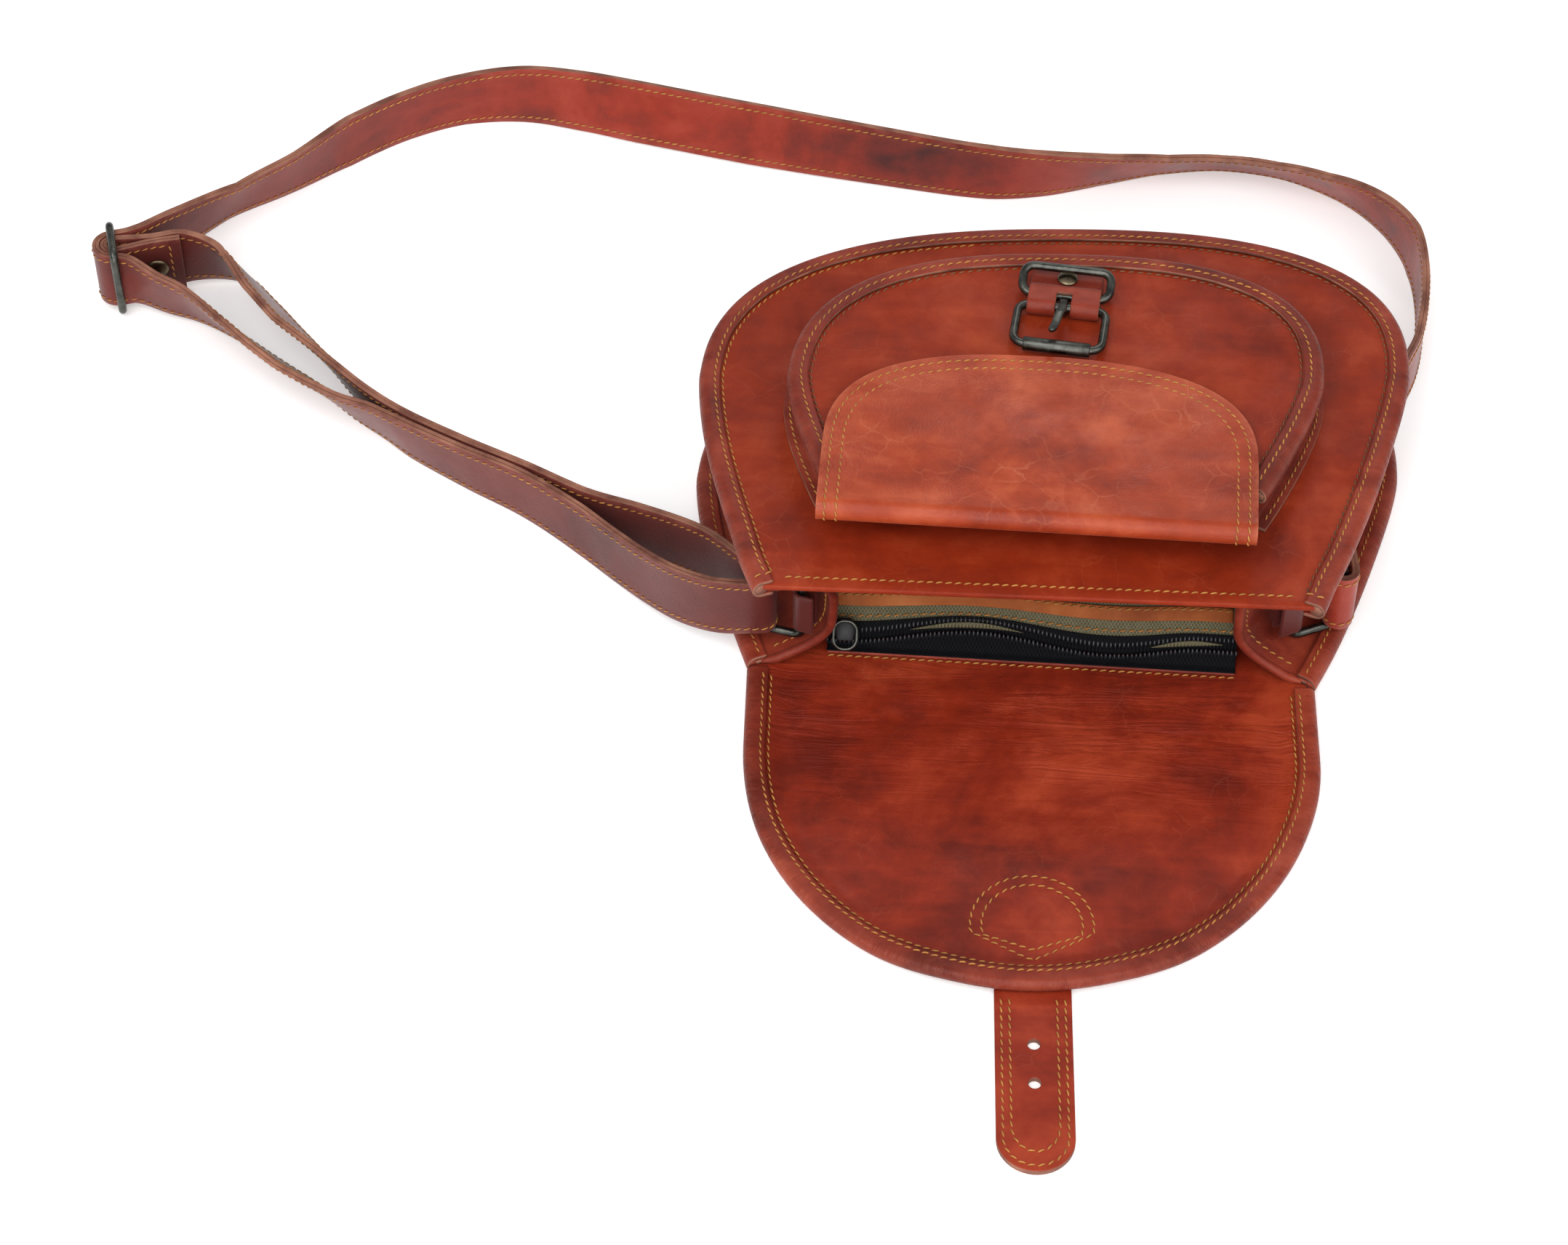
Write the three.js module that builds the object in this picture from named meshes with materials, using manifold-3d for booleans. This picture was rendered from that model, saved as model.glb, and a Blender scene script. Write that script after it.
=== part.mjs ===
// Leather saddle bag lying open on its back, its flap spread out and its shoulder strap standing on edge beside it.
// Millimetres, +Z up. The origin is the middle of the flap's fold line on the surface that the bag lies on:
// +X runs along the mouth, +Y runs to the bag's round bottom, and the flap reaches towards -Y.
import * as THREE from "three";
import Module from "manifold-3d";
import { mergeVertices } from "three/addons/utils/BufferGeometryUtils.js";

// Walls and gaps
const GAP = 0.3;
const PANEL = 2.4;
const BINDING = 1.4;
const BINDING_REACH = 8.2;
const PANEL_INSET = 3.8;
const LIE = { bodyBow: 0.052, flapBow: 0.022, skew: 0.045, skewFrom: 10, skewFull: 80 };

// Bag body: rows of the panel outline, from the mouth corner past the widest place to the bottom
const BACK = { mouthY: 0, mouthHalf: 109.4, wideY: 106, wideHalf: 141, bottomY: 191 };
const FRONT = { mouthY: -13, mouthHalf: 106.5, wideY: 106, wideHalf: 139, bottomY: 190 };
const POCKET = { mouthY: 27.6, mouthHalf: 84, wideY: 84, wideHalf: 103, bottomY: 154 };
const POCKET_PLACE = { x: -2, turn: -0.03 };
const SIDE_POWER = 1.4;
const BOTTOM_POWER = 2.5;
const BAG_DEPTH = 66.2;
const POCKET_TOP = 86.2;

// Flap and its fastening tab
const FLAP = { straight: 36, half: 109.4, reach: 149 };
const TAB = { half: 14, below: 75.6, headRise: 24, headRadius: 22, thick: 2.6, turn: 0.028, x: 2.6 };
const TAB_HOLE = { radius: 2.3, below: [21.6, 38.4] };
const TAB_LIFT = { height: TAB.thick + GAP, full: 26, none: 62, farY: -62, nearY: -98 };

// Side gusset: a channel whose flanges are sewn to both panels
const GUSSET = { wall: 1.8, web: 12.2, restBow: 11, mouthBow: 21, mouthRun: 62, fullness: 4 };
const POCKET_SIDE = { wall: 1.6, tip: -1.2, webLow: 5.4, webHigh: 7 };

// Pocket flap, folded up from the front panel
const POCKET_FLAP = { x: 0, half: 82, thick: 2.2, foldY: 23.5, rootY: 26.3, straightY: 38, reachY: 91.5, power: 2.6 };
const POCKET_FLAP_DROOP = { from: 45, height: 1 };

// Buckle group, lying on the pocket
const BUCKLE = { x: 5.9, y: 118.6, turn: -0.082, wire: 1.7, width: 34.4, reach: 22, corner: 4.5 };
const CHAPE = { half: 14, thick: 1.8, tail: 20, drop: [8.4, 11.4], slotHalf: 3, slotEnd: 5.2 };
const ROLLER = { inner: 1.78, outer: 2.7, half: 13 };
const PRONG = { half: 1.7, thick: 1.5, eye: 2.05, reach: 22.8, lift: 0.3, step: 9.5, drop: 1.6 };
const KEEPER = { v: 6.4, width: 34.4, reach: 12, tilt: 0.35, corner: 4.2 };
const RIVET = { radius: 4, height: 1.5, v: 15.9 };

// Shoulder strap, its two rings and its slider
const STRAP = { width: 28, thick: 3 };
const WIRE = 1.7;
const LOOP = 4.4;
const RING_LEFT = { outer: [-104.4, 13.2], inner: [-88.4, 9.2], base: 12.2, tab: 5 };
const RING_RIGHT = { outer: [118.2, 30.5], inner: [100.2, 22], base: 8.3, tab: 7.2 };
const RING = { height: 32.4, corner: 4 };
const RING_TAB = { wall: 1.6, radius: 2.8, rise: 5.5, height: 20 };
const SLIDER = { x: -385.5, y: 195, turn: 0.26, half: 11, low: 1.9, height: 32.4, inner: 3.5, outer: 6.8 };
const STRAP_RIVET = { along: 17, radius: 4.8, height: 1.6 };

// Zip pocket against the back wall
const ZIP = { half: 77, tape: 1.1 };
const ZIP_PULL = { x: -72, y: 14.2, z: 12.8, tilt: 0.82, thick: 2.2 };
const ZIP_RING = { width: 9, length: 11, corner: 4, wire: 0.7, y: -2, z: 3.6 };
const ZIP_SLIDER_OUTLINE = [[-3, -4.4], [3, -4.4], [4.4, 1], [2.4, 4.4], [-2.4, 4.4], [-4.4, 1]];
const CANVAS = 1.2;
const FACING = 1.6;

const { PI, cos, sin, hypot } = Math;
const vec2 = (x, y) => new THREE.Vector2(x, y);
const vec3 = (x, y, z) => new THREE.Vector3(x, y, z);
const mix = (a, b, t) => a + (b - a) * t;
const wasm = await Module();
wasm.setup();

// Eases from 0 at one value to 1 at another.
function ease(from, to, value) {
  const t = Math.min(1, Math.max(0, (value - from) / (to - from)));
  return t * t * (3 - 2 * t);
}

// A closed body from points and triangles, turned so that its faces point out.
function body(points, faces) {
  let volume = 0;
  for (let i = 0; i < faces.length; i += 3) {
    const [a, b, c] = [points[faces[i]], points[faces[i + 1]], points[faces[i + 2]]];
    volume += a.dot(vec3().crossVectors(b, c));
  }
  if (volume < 0) faces.reverse();
  const geometry = new THREE.BufferGeometry().setFromPoints(points);
  geometry.setIndex(faces);
  geometry.computeVertexNormals();
  return geometry;
}

// Triangles that fill a closed section, wound as the section runs.
function fill(section) {
  const contour = section.map(([a, b]) => vec2(a, b));
  const turn = Math.sign(THREE.ShapeUtils.area(contour));
  return THREE.ShapeUtils.triangulateShape(contour, []).map(([a, b, c]) => {
    const same = THREE.ShapeUtils.area([contour[a], contour[b], contour[c]]) * turn > 0;
    return same ? [a, b, c] : [a, c, b];
  });
}

// A body through rings of equal count; its two ends are filled unless the last ring meets the first.
function loft(rings, endFill) {
  const count = rings[0].length;
  const points = rings.flat();
  const faces = [];
  const spans = endFill ? rings.length - 1 : rings.length;
  for (let i = 0; i < spans; i += 1) {
    const a = i * count;
    const b = ((i + 1) % rings.length) * count;
    for (let j = 0; j < count; j += 1) {
      const k = (j + 1) % count;
      faces.push(a + j, a + k, b + j, a + k, b + k, b + j);
    }
  }
  if (endFill) {
    const last = (rings.length - 1) * count;
    for (const [a, b, c] of endFill) {
      faces.push(a, c, b);
      faces.push(last + a, last + b, last + c);
    }
  }
  return body(points, faces);
}

// A wall of even thickness about a line of [across, up] points, as one closed section.
function wallSection(line, thickness) {
  const sides = [[], []];
  line.forEach((point, i) => {
    const before = line[Math.max(0, i - 1)];
    const after = line[Math.min(line.length - 1, i + 1)];
    const into = vec2(point[0] - before[0], point[1] - before[1]).normalize();
    const out = vec2(after[0] - point[0], after[1] - point[1]).normalize();
    const along = into.clone().add(out).normalize();
    const reach = (i > 0 && i < line.length - 1 ? 1 / along.dot(out) : 1) * thickness * 0.5;
    sides[0].push([point[0] - along.y * reach, point[1] + along.x * reach]);
    sides[1].unshift([point[0] + along.y * reach, point[1] - along.x * reach]);
  });
  return [...sides[0], ...sides[1]];
}

// The soft bag lies a little bent: both of its ends stand to the right of the fold line's middle and are turned.
function settled(x, y) {
  const away = Math.abs(y);
  const bow = (y > 0 ? LIE.bodyBow : LIE.flapBow) * away;
  return vec2(x + bow, y + LIE.skew * x * ease(LIE.skewFrom, LIE.skewFull, away));
}

// U-shaped edge of a panel, from the right mouth corner round the bottom to the left one.
function panelEdge(shape, sideSteps, bottomSteps) {
  const half = [];
  for (let i = 0; i < sideSteps; i += 1) {
    const y = mix(shape.mouthY, shape.wideY, i / sideSteps);
    const share = ((shape.wideY - y) / (shape.wideY - shape.mouthY)) ** SIDE_POWER;
    half.push([shape.wideHalf - (shape.wideHalf - shape.mouthHalf) * share, y]);
  }
  for (let i = 0; i < bottomSteps; i += 1) {
    const angle = (i / bottomSteps) * PI * 0.5;
    const x = shape.wideHalf * cos(angle) ** (2 / BOTTOM_POWER);
    half.push([x, shape.wideY + (shape.bottomY - shape.wideY) * sin(angle) ** (2 / BOTTOM_POWER)]);
  }
  const left = half.map(([x, y]) => [-x, y]).reverse();
  return [...half, [0, shape.bottomY], ...left].map(([x, y]) => settled(x, y));
}

// Edge of the flap, from the left end of the fold line round the tip to the right end.
function flapEdge(steps) {
  const points = [[-FLAP.half, 0], [-FLAP.half, -FLAP.straight * 0.5]];
  for (let i = 0; i <= steps; i += 1) {
    const angle = PI + (i / steps) * PI;
    points.push([FLAP.half * cos(angle), -FLAP.straight + (FLAP.reach - FLAP.straight) * sin(angle)]);
  }
  points.push([FLAP.half, -FLAP.straight * 0.5], [FLAP.half, 0]);
  return points.map(([x, y]) => settled(x, y));
}

// Places along an edge, each with its point, its inward direction and the distance to the nearer end.
function stationsOf(points, looped = false) {
  const count = points.length;
  const runs = [0];
  for (let i = 1; i < count; i += 1) runs.push(runs[i - 1] + points[i].distanceTo(points[i - 1]));
  return points.map((point, i) => {
    const before = points[looped ? (i + count - 1) % count : Math.max(0, i - 1)];
    const after = points[looped ? (i + 1) % count : Math.min(count - 1, i + 1)];
    const into = point.clone().sub(before).normalize();
    const out = after.clone().sub(point).normalize();
    const along = into.clone().add(out).normalize();
    const miter = out.lengthSq() && into.lengthSq() ? 1 / Math.max(0.5, along.dot(out)) : 1;
    const inward = vec2(-along.y, along.x).multiplyScalar(miter);
    return { point, inward, run: Math.min(runs[i], runs[count - 1] - runs[i]) };
  });
}

// A strip carried along an edge; its section gives [inset, height] at each station.
function strip(stations, sectionAt, raise = () => 0) {
  const rings = stations.map((station) =>
    sectionAt(station).map(([inset, z]) => {
      const at = station.point.clone().addScaledVector(station.inward, inset);
      return vec3(at.x, at.y, z + raise(at.x, at.y));
    }),
  );
  return loft(rings, fill(sectionAt(stations[0])));
}

// A rounded strip folded over an edge, from its lower to its upper face.
function bindingSection(low, high, lowReach, highReach, thickness) {
  const radius = (high - low - thickness) * 0.5;
  const middle = (high + low) * 0.5;
  const outer = thickness * 0.5 + radius;
  const line = [[lowReach, middle - radius]];
  for (const degrees of [90, 135, 180, 225, 270]) {
    const angle = (degrees * PI) / 180;
    line.push([outer + radius * cos(angle), middle - radius * sin(angle)]);
  }
  line.push([highReach, middle + radius]);
  return wallSection(line, thickness);
}

// A sheet inside a closed edge: rings of given inset, then shrunken rings, then a middle point.
function sheet(edge, insets, shrinks, centre, bottomAt, topAt) {
  const stations = stationsOf(edge, true);
  const inset = (depth) => stations.map((s) => s.point.clone().addScaledVector(s.inward, depth));
  const rings = insets.map(inset);
  const innermost = rings[rings.length - 1];
  for (const share of shrinks) rings.push(innermost.map((p) => centre.clone().lerp(p, share)));
  const count = edge.length;
  const flat = [...rings.flat(), centre];
  const depthAt = (i) => (i < count * insets.length ? insets[Math.floor(i / count)] : Infinity);
  const top = flat.map((p, i) => vec3(p.x, p.y, topAt(p.x, p.y, depthAt(i))));
  const bottom = flat.map((p, i) => vec3(p.x, p.y, bottomAt(p.x, p.y, depthAt(i))));
  const faces = [];
  const under = flat.length;
  const face = (a, b, c) => faces.push(a, b, c, under + a, under + c, under + b);
  for (let j = 0; j < count; j += 1) {
    const k = (j + 1) % count;
    for (let r = 0; r < rings.length - 1; r += 1) {
      const [a, b] = [r * count, (r + 1) * count];
      face(a + j, a + k, b + j);
      face(a + k, b + k, b + j);
    }
    const inner = (rings.length - 1) * count;
    face(inner + j, inner + k, under - 1);
    faces.push(j, under + j, k, k, under + j, under + k);
  }
  return body([...top, ...bottom], faces);
}

// A sheet across the bag: rows of { y, z, half, middle } along its length, cut into columns across its width.
function crossSheet(rows, thickness, columns) {
  const line = rows.map(({ y, z }) => [y, z]);
  const section = wallSection(line, thickness);
  const halves = [...rows, ...[...rows].reverse()];
  const rings = [];
  for (let i = 0; i <= columns; i += 1) {
    const across = (2 * i) / columns - 1;
    rings.push(section.map(([y, z], j) => vec3(across * halves[j].half + (halves[j].middle ?? 0), y, z)));
  }
  return loft(rings, fill(section));
}

// A closed or open wire of round section through points that lie in one plane.
function wire(points, radius, sides, normal, looped) {
  const count = points.length;
  const rings = points.map((point, i) => {
    const before = points[looped ? (i + count - 1) % count : Math.max(0, i - 1)];
    const after = points[looped ? (i + 1) % count : Math.min(count - 1, i + 1)];
    const along = after.clone().sub(before).normalize();
    const across = vec3().crossVectors(along, normal);
    return Array.from({ length: sides }, (_, j) => {
      const angle = ((j + 0.5) / sides) * 2 * PI;
      return point.clone().addScaledVector(normal, radius * cos(angle)).addScaledVector(across, radius * sin(angle));
    });
  });
  const disc = Array.from({ length: sides }, (_, j) => [cos((j / sides) * 2 * PI), sin((j / sides) * 2 * PI)]);
  return loft(rings, looped ? null : fill(disc));
}

// Corner points of a rounded rectangle about the origin, counter-clockwise from the middle of its right side.
function roundedRectangle(width, height, corner, steps) {
  const points = [];
  const signs = [[1, 1], [-1, 1], [-1, -1], [1, -1]];
  signs.forEach(([sx, sy], quarter) => {
    for (let i = 0; i <= steps; i += 1) {
      const angle = (quarter + i / steps) * PI * 0.5;
      const x = sx * (width * 0.5 - corner) + corner * cos(angle);
      points.push([x, sy * (height * 0.5 - corner) + corner * sin(angle)]);
    }
  });
  return points;
}

// Booleans on two closed geometries
function manifoldOf(geometry) {
  const bare = new THREE.BufferGeometry();
  bare.setAttribute("position", geometry.getAttribute("position"));
  if (geometry.index) bare.setIndex(geometry.index);
  const merged = mergeVertices(bare, 1e-4);
  const triVerts = new Uint32Array(merged.index.array);
  return new wasm.Manifold(new wasm.Mesh({ numProp: 3, vertProperties: merged.attributes.position.array, triVerts }));
}

function geometryOf(solid) {
  const mesh = solid.getMesh();
  const geometry = new THREE.BufferGeometry();
  geometry.setAttribute("position", new THREE.BufferAttribute(mesh.vertProperties, 3));
  geometry.setIndex(new THREE.BufferAttribute(mesh.triVerts, 1));
  geometry.computeVertexNormals();
  return geometry;
}

const cut = (whole, piece) => geometryOf(manifoldOf(whole).subtract(manifoldOf(piece)));
const join = (...pieces) => geometryOf(pieces.map(manifoldOf).reduce((all, piece) => all.add(piece)));

// Finishes
const finish = (color, roughness, metalness = 0) => new THREE.MeshStandardMaterial({ color, roughness, metalness });
const cognac = finish(0xa5462d, 0.45);
const oxblood = finish(0x74301f, 0.5);
const tanLeather = finish(0xc88250, 0.55);
const canvasCloth = finish(0x7b7959, 0.9);
const zipBlack = finish(0x16171b, 0.7);
const gunmetal = finish(0x4a4b47, 0.42, 0.9);
const bronze = finish(0x6a5a40, 0.45, 0.9);

const bag = new THREE.Group();

function add(name, geometry, material, parent = bag) {
  const mesh = new THREE.Mesh(geometry, material);
  mesh.name = name;
  parent.add(mesh);
  return mesh;
}

// Height of the flap over its fastening tab, which lies under it.
function tabLift(x, y) {
  const aside = Math.abs(x - TAB.x);
  return TAB_LIFT.height * ease(TAB_LIFT.none, TAB_LIFT.full, aside) * ease(TAB_LIFT.farY, TAB_LIFT.nearY, y);
}

// Back panel and flap in one sheet, flattened on the surface inside its bound edge
const EDGE_RISE = BINDING + GAP;
const backEdge = panelEdge(BACK, 7, 9);
const flapRim = flapEdge(16);

function backAndFlap() {
  const edge = [...backEdge, ...flapRim.slice(1, -1)];
  const low = (x, y, depth) => tabLift(x, y) + EDGE_RISE * (1 - ease(BINDING_REACH, 2 * BINDING_REACH, depth));
  const high = (x, y, depth) => low(x, y, depth) + PANEL;
  return sheet(edge, [PANEL_INSET, BINDING_REACH, 2 * BINDING_REACH], [0.76, 0.45], vec2(0, 10), low, high);
}

function flapBinding() {
  const section = bindingSection(0, 2 * EDGE_RISE + PANEL, BINDING_REACH, BINDING_REACH, BINDING);
  const stations = stationsOf(flapRim);
  stations[0].point.y -= GAP;
  stations[stations.length - 1].point.y -= GAP;
  return strip(stations, () => section, tabLift);
}

function flapTab() {
  const outline = new THREE.Shape();
  const endY = TAB.half - TAB.below;
  const neck = Math.asin(TAB.half / TAB.headRadius);
  outline.moveTo(-TAB.half, endY);
  outline.absarc(0, endY, TAB.half, PI, 2 * PI, false);
  outline.absarc(0, TAB.headRise, TAB.headRadius, neck - PI * 0.5, PI * 1.5 - neck, false);
  outline.closePath();
  for (const below of TAB_HOLE.below) {
    const hole = new THREE.Path();
    hole.absarc(0, -below, TAB_HOLE.radius, 0, 2 * PI, true);
    outline.holes.push(hole);
  }
  return new THREE.ExtrudeGeometry(outline, { depth: TAB.thick, bevelEnabled: false, curveSegments: 7 });
}

add("back_and_flap", backAndFlap(), cognac);
add("flap_binding", flapBinding(), cognac);
const tab = add("flap_tab", flapTab(), cognac);
tab.position.set(TAB.x, -FLAP.reach, 0);
tab.rotation.z = TAB.turn;

// Gusset channel: lower flange on the back panel, bowed web, upper flange under the front panel
const LOW_FLANGE = EDGE_RISE + PANEL + GAP + GUSSET.wall * 0.5;
const HIGH_FLANGE = BAG_DEPTH - LOW_FLANGE;
const BACK_BINDING_TOP = LOW_FLANGE + GUSSET.wall * 0.5 + EDGE_RISE;
const FRONT_BINDING_LOW = BAG_DEPTH - BACK_BINDING_TOP;
const gussetBow = (run) => mix(GUSSET.mouthBow, GUSSET.restBow, ease(0, GUSSET.mouthRun, run));

function gussetSection(run) {
  const line = [[PANEL_INSET, LOW_FLANGE]];
  const bow = gussetBow(run);
  for (const share of [0, 0.14, 0.32, 0.5, 0.68, 0.86, 1]) {
    const inset = GUSSET.web + bow * (1 - Math.abs(2 * share - 1) ** GUSSET.fullness);
    line.push([inset, mix(LOW_FLANGE, HIGH_FLANGE, share)]);
  }
  line.push([PANEL_INSET, HIGH_FLANGE]);
  return wallSection(line, GUSSET.wall);
}

// The gusset starts on the fold line at the back and on the front panel's edge at the front.
function gusset() {
  const stations = stationsOf(panelEdge(BACK, 10, 9));
  const nearMouth = (run) => 1 - ease(0, GUSSET.mouthRun, run);
  const rings = stations.map((station) =>
    gussetSection(station.run).map(([inset, z]) => {
      const share = (z - LOW_FLANGE) / (HIGH_FLANGE - LOW_FLANGE);
      const slip = mix(BACK.wideHalf - FRONT.wideHalf, BACK.mouthHalf - FRONT.mouthHalf, nearMouth(station.run));
      const at = station.point.clone().addScaledVector(station.inward, inset + slip * share);
      const start = mix(GAP, FRONT.mouthY + GAP, share);
      return vec3(at.x, at.y + start * nearMouth(station.run), z);
    }),
  );
  return loft(rings, fill(gussetSection(0)));
}

function backBinding() {
  const stations = stationsOf(backEdge);
  stations[0].point = stations[0].point.clone().add(vec2(0, GAP));
  stations[stations.length - 1].point = stations[stations.length - 1].point.clone().add(vec2(0, GAP));
  return strip(stations, () => bindingSection(0, BACK_BINDING_TOP, BINDING_REACH, BINDING_REACH, BINDING));
}

add("gusset", gusset(), oxblood);
add("back_binding", backBinding(), cognac);

// Front panel with its bound edge
const FRONT_TOP = BAG_DEPTH - EDGE_RISE;
const frontEdge = panelEdge(FRONT, 8, 9);

function closedPanel(edge, mouthSteps) {
  const [left, right] = [edge[edge.length - 1], edge[0]];
  const mouth = Array.from({ length: mouthSteps }, (_, i) => left.clone().lerp(right, (i + 1) / (mouthSteps + 1)));
  return [...edge, ...mouth];
}

function frontPanel() {
  const edge = stationsOf(frontEdge).map((s) => s.point.clone().addScaledVector(s.inward, PANEL_INSET));
  const low = () => FRONT_TOP - PANEL;
  return sheet(closedPanel(edge, 5), [0], [0.5], vec2(0, 75), low, () => FRONT_TOP);
}

add("front_panel", frontPanel(), cognac);
const frontSection = bindingSection(FRONT_BINDING_LOW, BAG_DEPTH, BINDING_REACH, BINDING_REACH, BINDING);
add("front_binding", strip(stationsOf(frontEdge), () => frontSection), cognac);

// Pocket on the front panel, sewn on a little turned: side strip, face, bound edge, flap and buckle
const pocket = new THREE.Group();
pocket.position.x = POCKET_PLACE.x;
pocket.rotation.z = POCKET_PLACE.turn;
bag.add(pocket);
const POCKET_BASE = FRONT_TOP + GAP + POCKET_SIDE.wall * 0.5;
const POCKET_FACE_TOP = POCKET_TOP - EDGE_RISE;
const POCKET_FLANGE = POCKET_FACE_TOP - PANEL - GAP - POCKET_SIDE.wall * 0.5;
const pocketEdge = panelEdge(POCKET, 6, 9);

function pocketGusset() {
  const rise = 1.5;
  const line = [
    [POCKET_SIDE.tip, POCKET_BASE],
    [POCKET_SIDE.webLow - rise, POCKET_BASE],
    [POCKET_SIDE.webLow, POCKET_BASE + rise],
    [POCKET_SIDE.webHigh, POCKET_FLANGE - rise],
    [POCKET_SIDE.webHigh - rise, POCKET_FLANGE],
    [PANEL_INSET, POCKET_FLANGE],
  ];
  return strip(stationsOf(pocketEdge), () => wallSection(line, POCKET_SIDE.wall));
}

function pocketFace() {
  const edge = stationsOf(pocketEdge).map((s) => s.point.clone().addScaledVector(s.inward, PANEL_INSET));
  const low = () => POCKET_FACE_TOP - PANEL;
  return sheet(closedPanel(edge, 3), [0], [], vec2(0, 80), low, () => POCKET_FACE_TOP);
}

function pocketBinding() {
  const low = POCKET_FLANGE - POCKET_SIDE.wall * 0.5 - EDGE_RISE;
  const section = bindingSection(low, POCKET_TOP, POCKET_SIDE.webHigh - 2.2, BINDING_REACH, BINDING);
  return strip(stationsOf(pocketEdge), () => section);
}

// The pocket's own flap is sewn to the front panel, turns up in a round fold and lies over the pocket.
function pocketFlap() {
  const rootZ = FRONT_TOP + GAP + POCKET_FLAP.thick * 0.5;
  const topZ = POCKET_TOP + GAP + POCKET_FLAP.thick * 0.5;
  const radius = (topZ - rootZ) * 0.5;
  const { half, foldY, straightY, reachY, power } = POCKET_FLAP;
  const rows = [{ y: POCKET_FLAP.rootY, z: rootZ, half }];
  for (let i = 0; i <= 8; i += 1) {
    const angle = -PI * 0.5 - (i / 8) * PI;
    rows.push({ y: foldY + radius * cos(angle), z: (rootZ + topZ) * 0.5 + radius * sin(angle), half });
  }
  for (let i = 0; i < 10; i += 1) {
    const share = sin((i / 10) * PI * 0.5);
    const y = mix(straightY, reachY, share);
    const droop = POCKET_FLAP_DROOP.height * ease(POCKET_FLAP_DROOP.from, reachY, y);
    rows.push({ y, z: topZ - droop, half: half * (1 - share ** power) ** (1 / power) });
  }
  rows.push({ y: reachY, z: topZ - POCKET_FLAP_DROOP.height, half: half * 0.3 });
  return crossSheet(rows, POCKET_FLAP.thick, 6);
}

add("pocket_gusset", pocketGusset(), cognac, pocket);
add("pocket_face", pocketFace(), cognac, pocket);
add("pocket_binding", pocketBinding(), cognac, pocket);
add("pocket_flap", pocketFlap(), cognac, pocket).position.x = POCKET_FLAP.x;

// Buckle group: the x axis of its frame runs along the bar, and -y points to the bag's mouth.
const buckle = new THREE.Group();
const CHAPE_LOW = POCKET_FACE_TOP + GAP + CHAPE.thick * 0.5;
const CHAPE_LOOP = BUCKLE.wire + GAP + CHAPE.thick * 0.5;
const BAR_Z = CHAPE_LOW + CHAPE_LOOP;
buckle.position.set(BUCKLE.x, BUCKLE.y, BAR_Z);
buckle.rotation.z = BUCKLE.turn;
pocket.add(buckle);
const CHAPE_TAIL = CHAPE_LOW + CHAPE.thick + GAP - BAR_Z;

// A strip of leather folded round the bar, its upper layer stepping down to the lower one, with a slot for the prong
function buckleChape() {
  const line = [[CHAPE.tail, -CHAPE_LOOP]];
  for (let i = 0; i <= 8; i += 1) {
    const angle = -PI * 0.5 - (i / 8) * PI;
    line.push([CHAPE_LOOP * cos(angle), CHAPE_LOOP * sin(angle)]);
  }
  line.push([CHAPE.drop[0], CHAPE_LOOP], [CHAPE.drop[1], CHAPE_TAIL], [CHAPE.tail, CHAPE_TAIL]);
  const section = wallSection(line, CHAPE.thick);
  const ends = [-CHAPE.half, CHAPE.half].map((x) => section.map(([y, z]) => vec3(x, y, z)));
  const slotLength = CHAPE.slotEnd + 2 * CHAPE_LOOP;
  const slot = new THREE.BoxGeometry(2 * CHAPE.slotHalf, slotLength, 4 * CHAPE_LOOP);
  slot.translate(0, CHAPE.slotEnd - slotLength * 0.5, 0);
  return cut(loft(ends, fill(section)), slot);
}

function wireLoop(width, height, corner, radius) {
  const points = roundedRectangle(width, height, corner, 4).map(([x, y]) => vec3(x, y, 0));
  return wire(points, radius, 8, vec3(0, 0, 1), true);
}

function buckleFrame() {
  return wireLoop(BUCKLE.width, BUCKLE.reach, BUCKLE.corner, BUCKLE.wire).translate(0, -BUCKLE.reach * 0.5, 0);
}

function roller() {
  const { inner, outer, half } = ROLLER;
  const profile = [[inner, -half], [outer, -half], [outer, half], [inner, half], [inner, -half]];
  return new THREE.LatheGeometry(profile.map(([r, h]) => vec2(r, h)), 14).rotateZ(PI * 0.5);
}

// A flat tongue with an eye round the bar and a step down behind its blunt tip
function prong() {
  const eyeLine = [];
  const radius = PRONG.eye + PRONG.thick * 0.5;
  for (let i = 0; i <= 9; i += 1) {
    const angle = PI * 0.5 + GAP - (i / 9) * 1.72 * PI;
    eyeLine.push([radius * cos(angle), radius * sin(angle)]);
  }
  const tongue = [
    [-PRONG.reach, radius - PRONG.drop],
    [-PRONG.reach + 6, radius - PRONG.drop],
    [-PRONG.step, radius + 0.3],
    [-radius, radius + 0.2],
  ];
  const section = wallSection([...tongue, ...eyeLine], PRONG.thick);
  const ends = [-PRONG.half, PRONG.half].map((x) => section.map(([y, z]) => vec3(x, y, z)));
  return loft(ends, fill(section));
}

function keeperLoop() {
  const ring = wireLoop(KEEPER.width, KEEPER.reach, KEEPER.corner, WIRE);
  return ring.translate(0, KEEPER.reach * 0.5, 0);
}

function rivetHead(radius, height) {
  const rim = height * 0.35;
  const profile = [[0, 0], [radius, 0], [radius, rim], [radius * 0.7, height * 0.85], [0, height]];
  return new THREE.LatheGeometry(profile.map(([r, h]) => vec2(r, h)), 16).rotateX(PI * 0.5);
}

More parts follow.
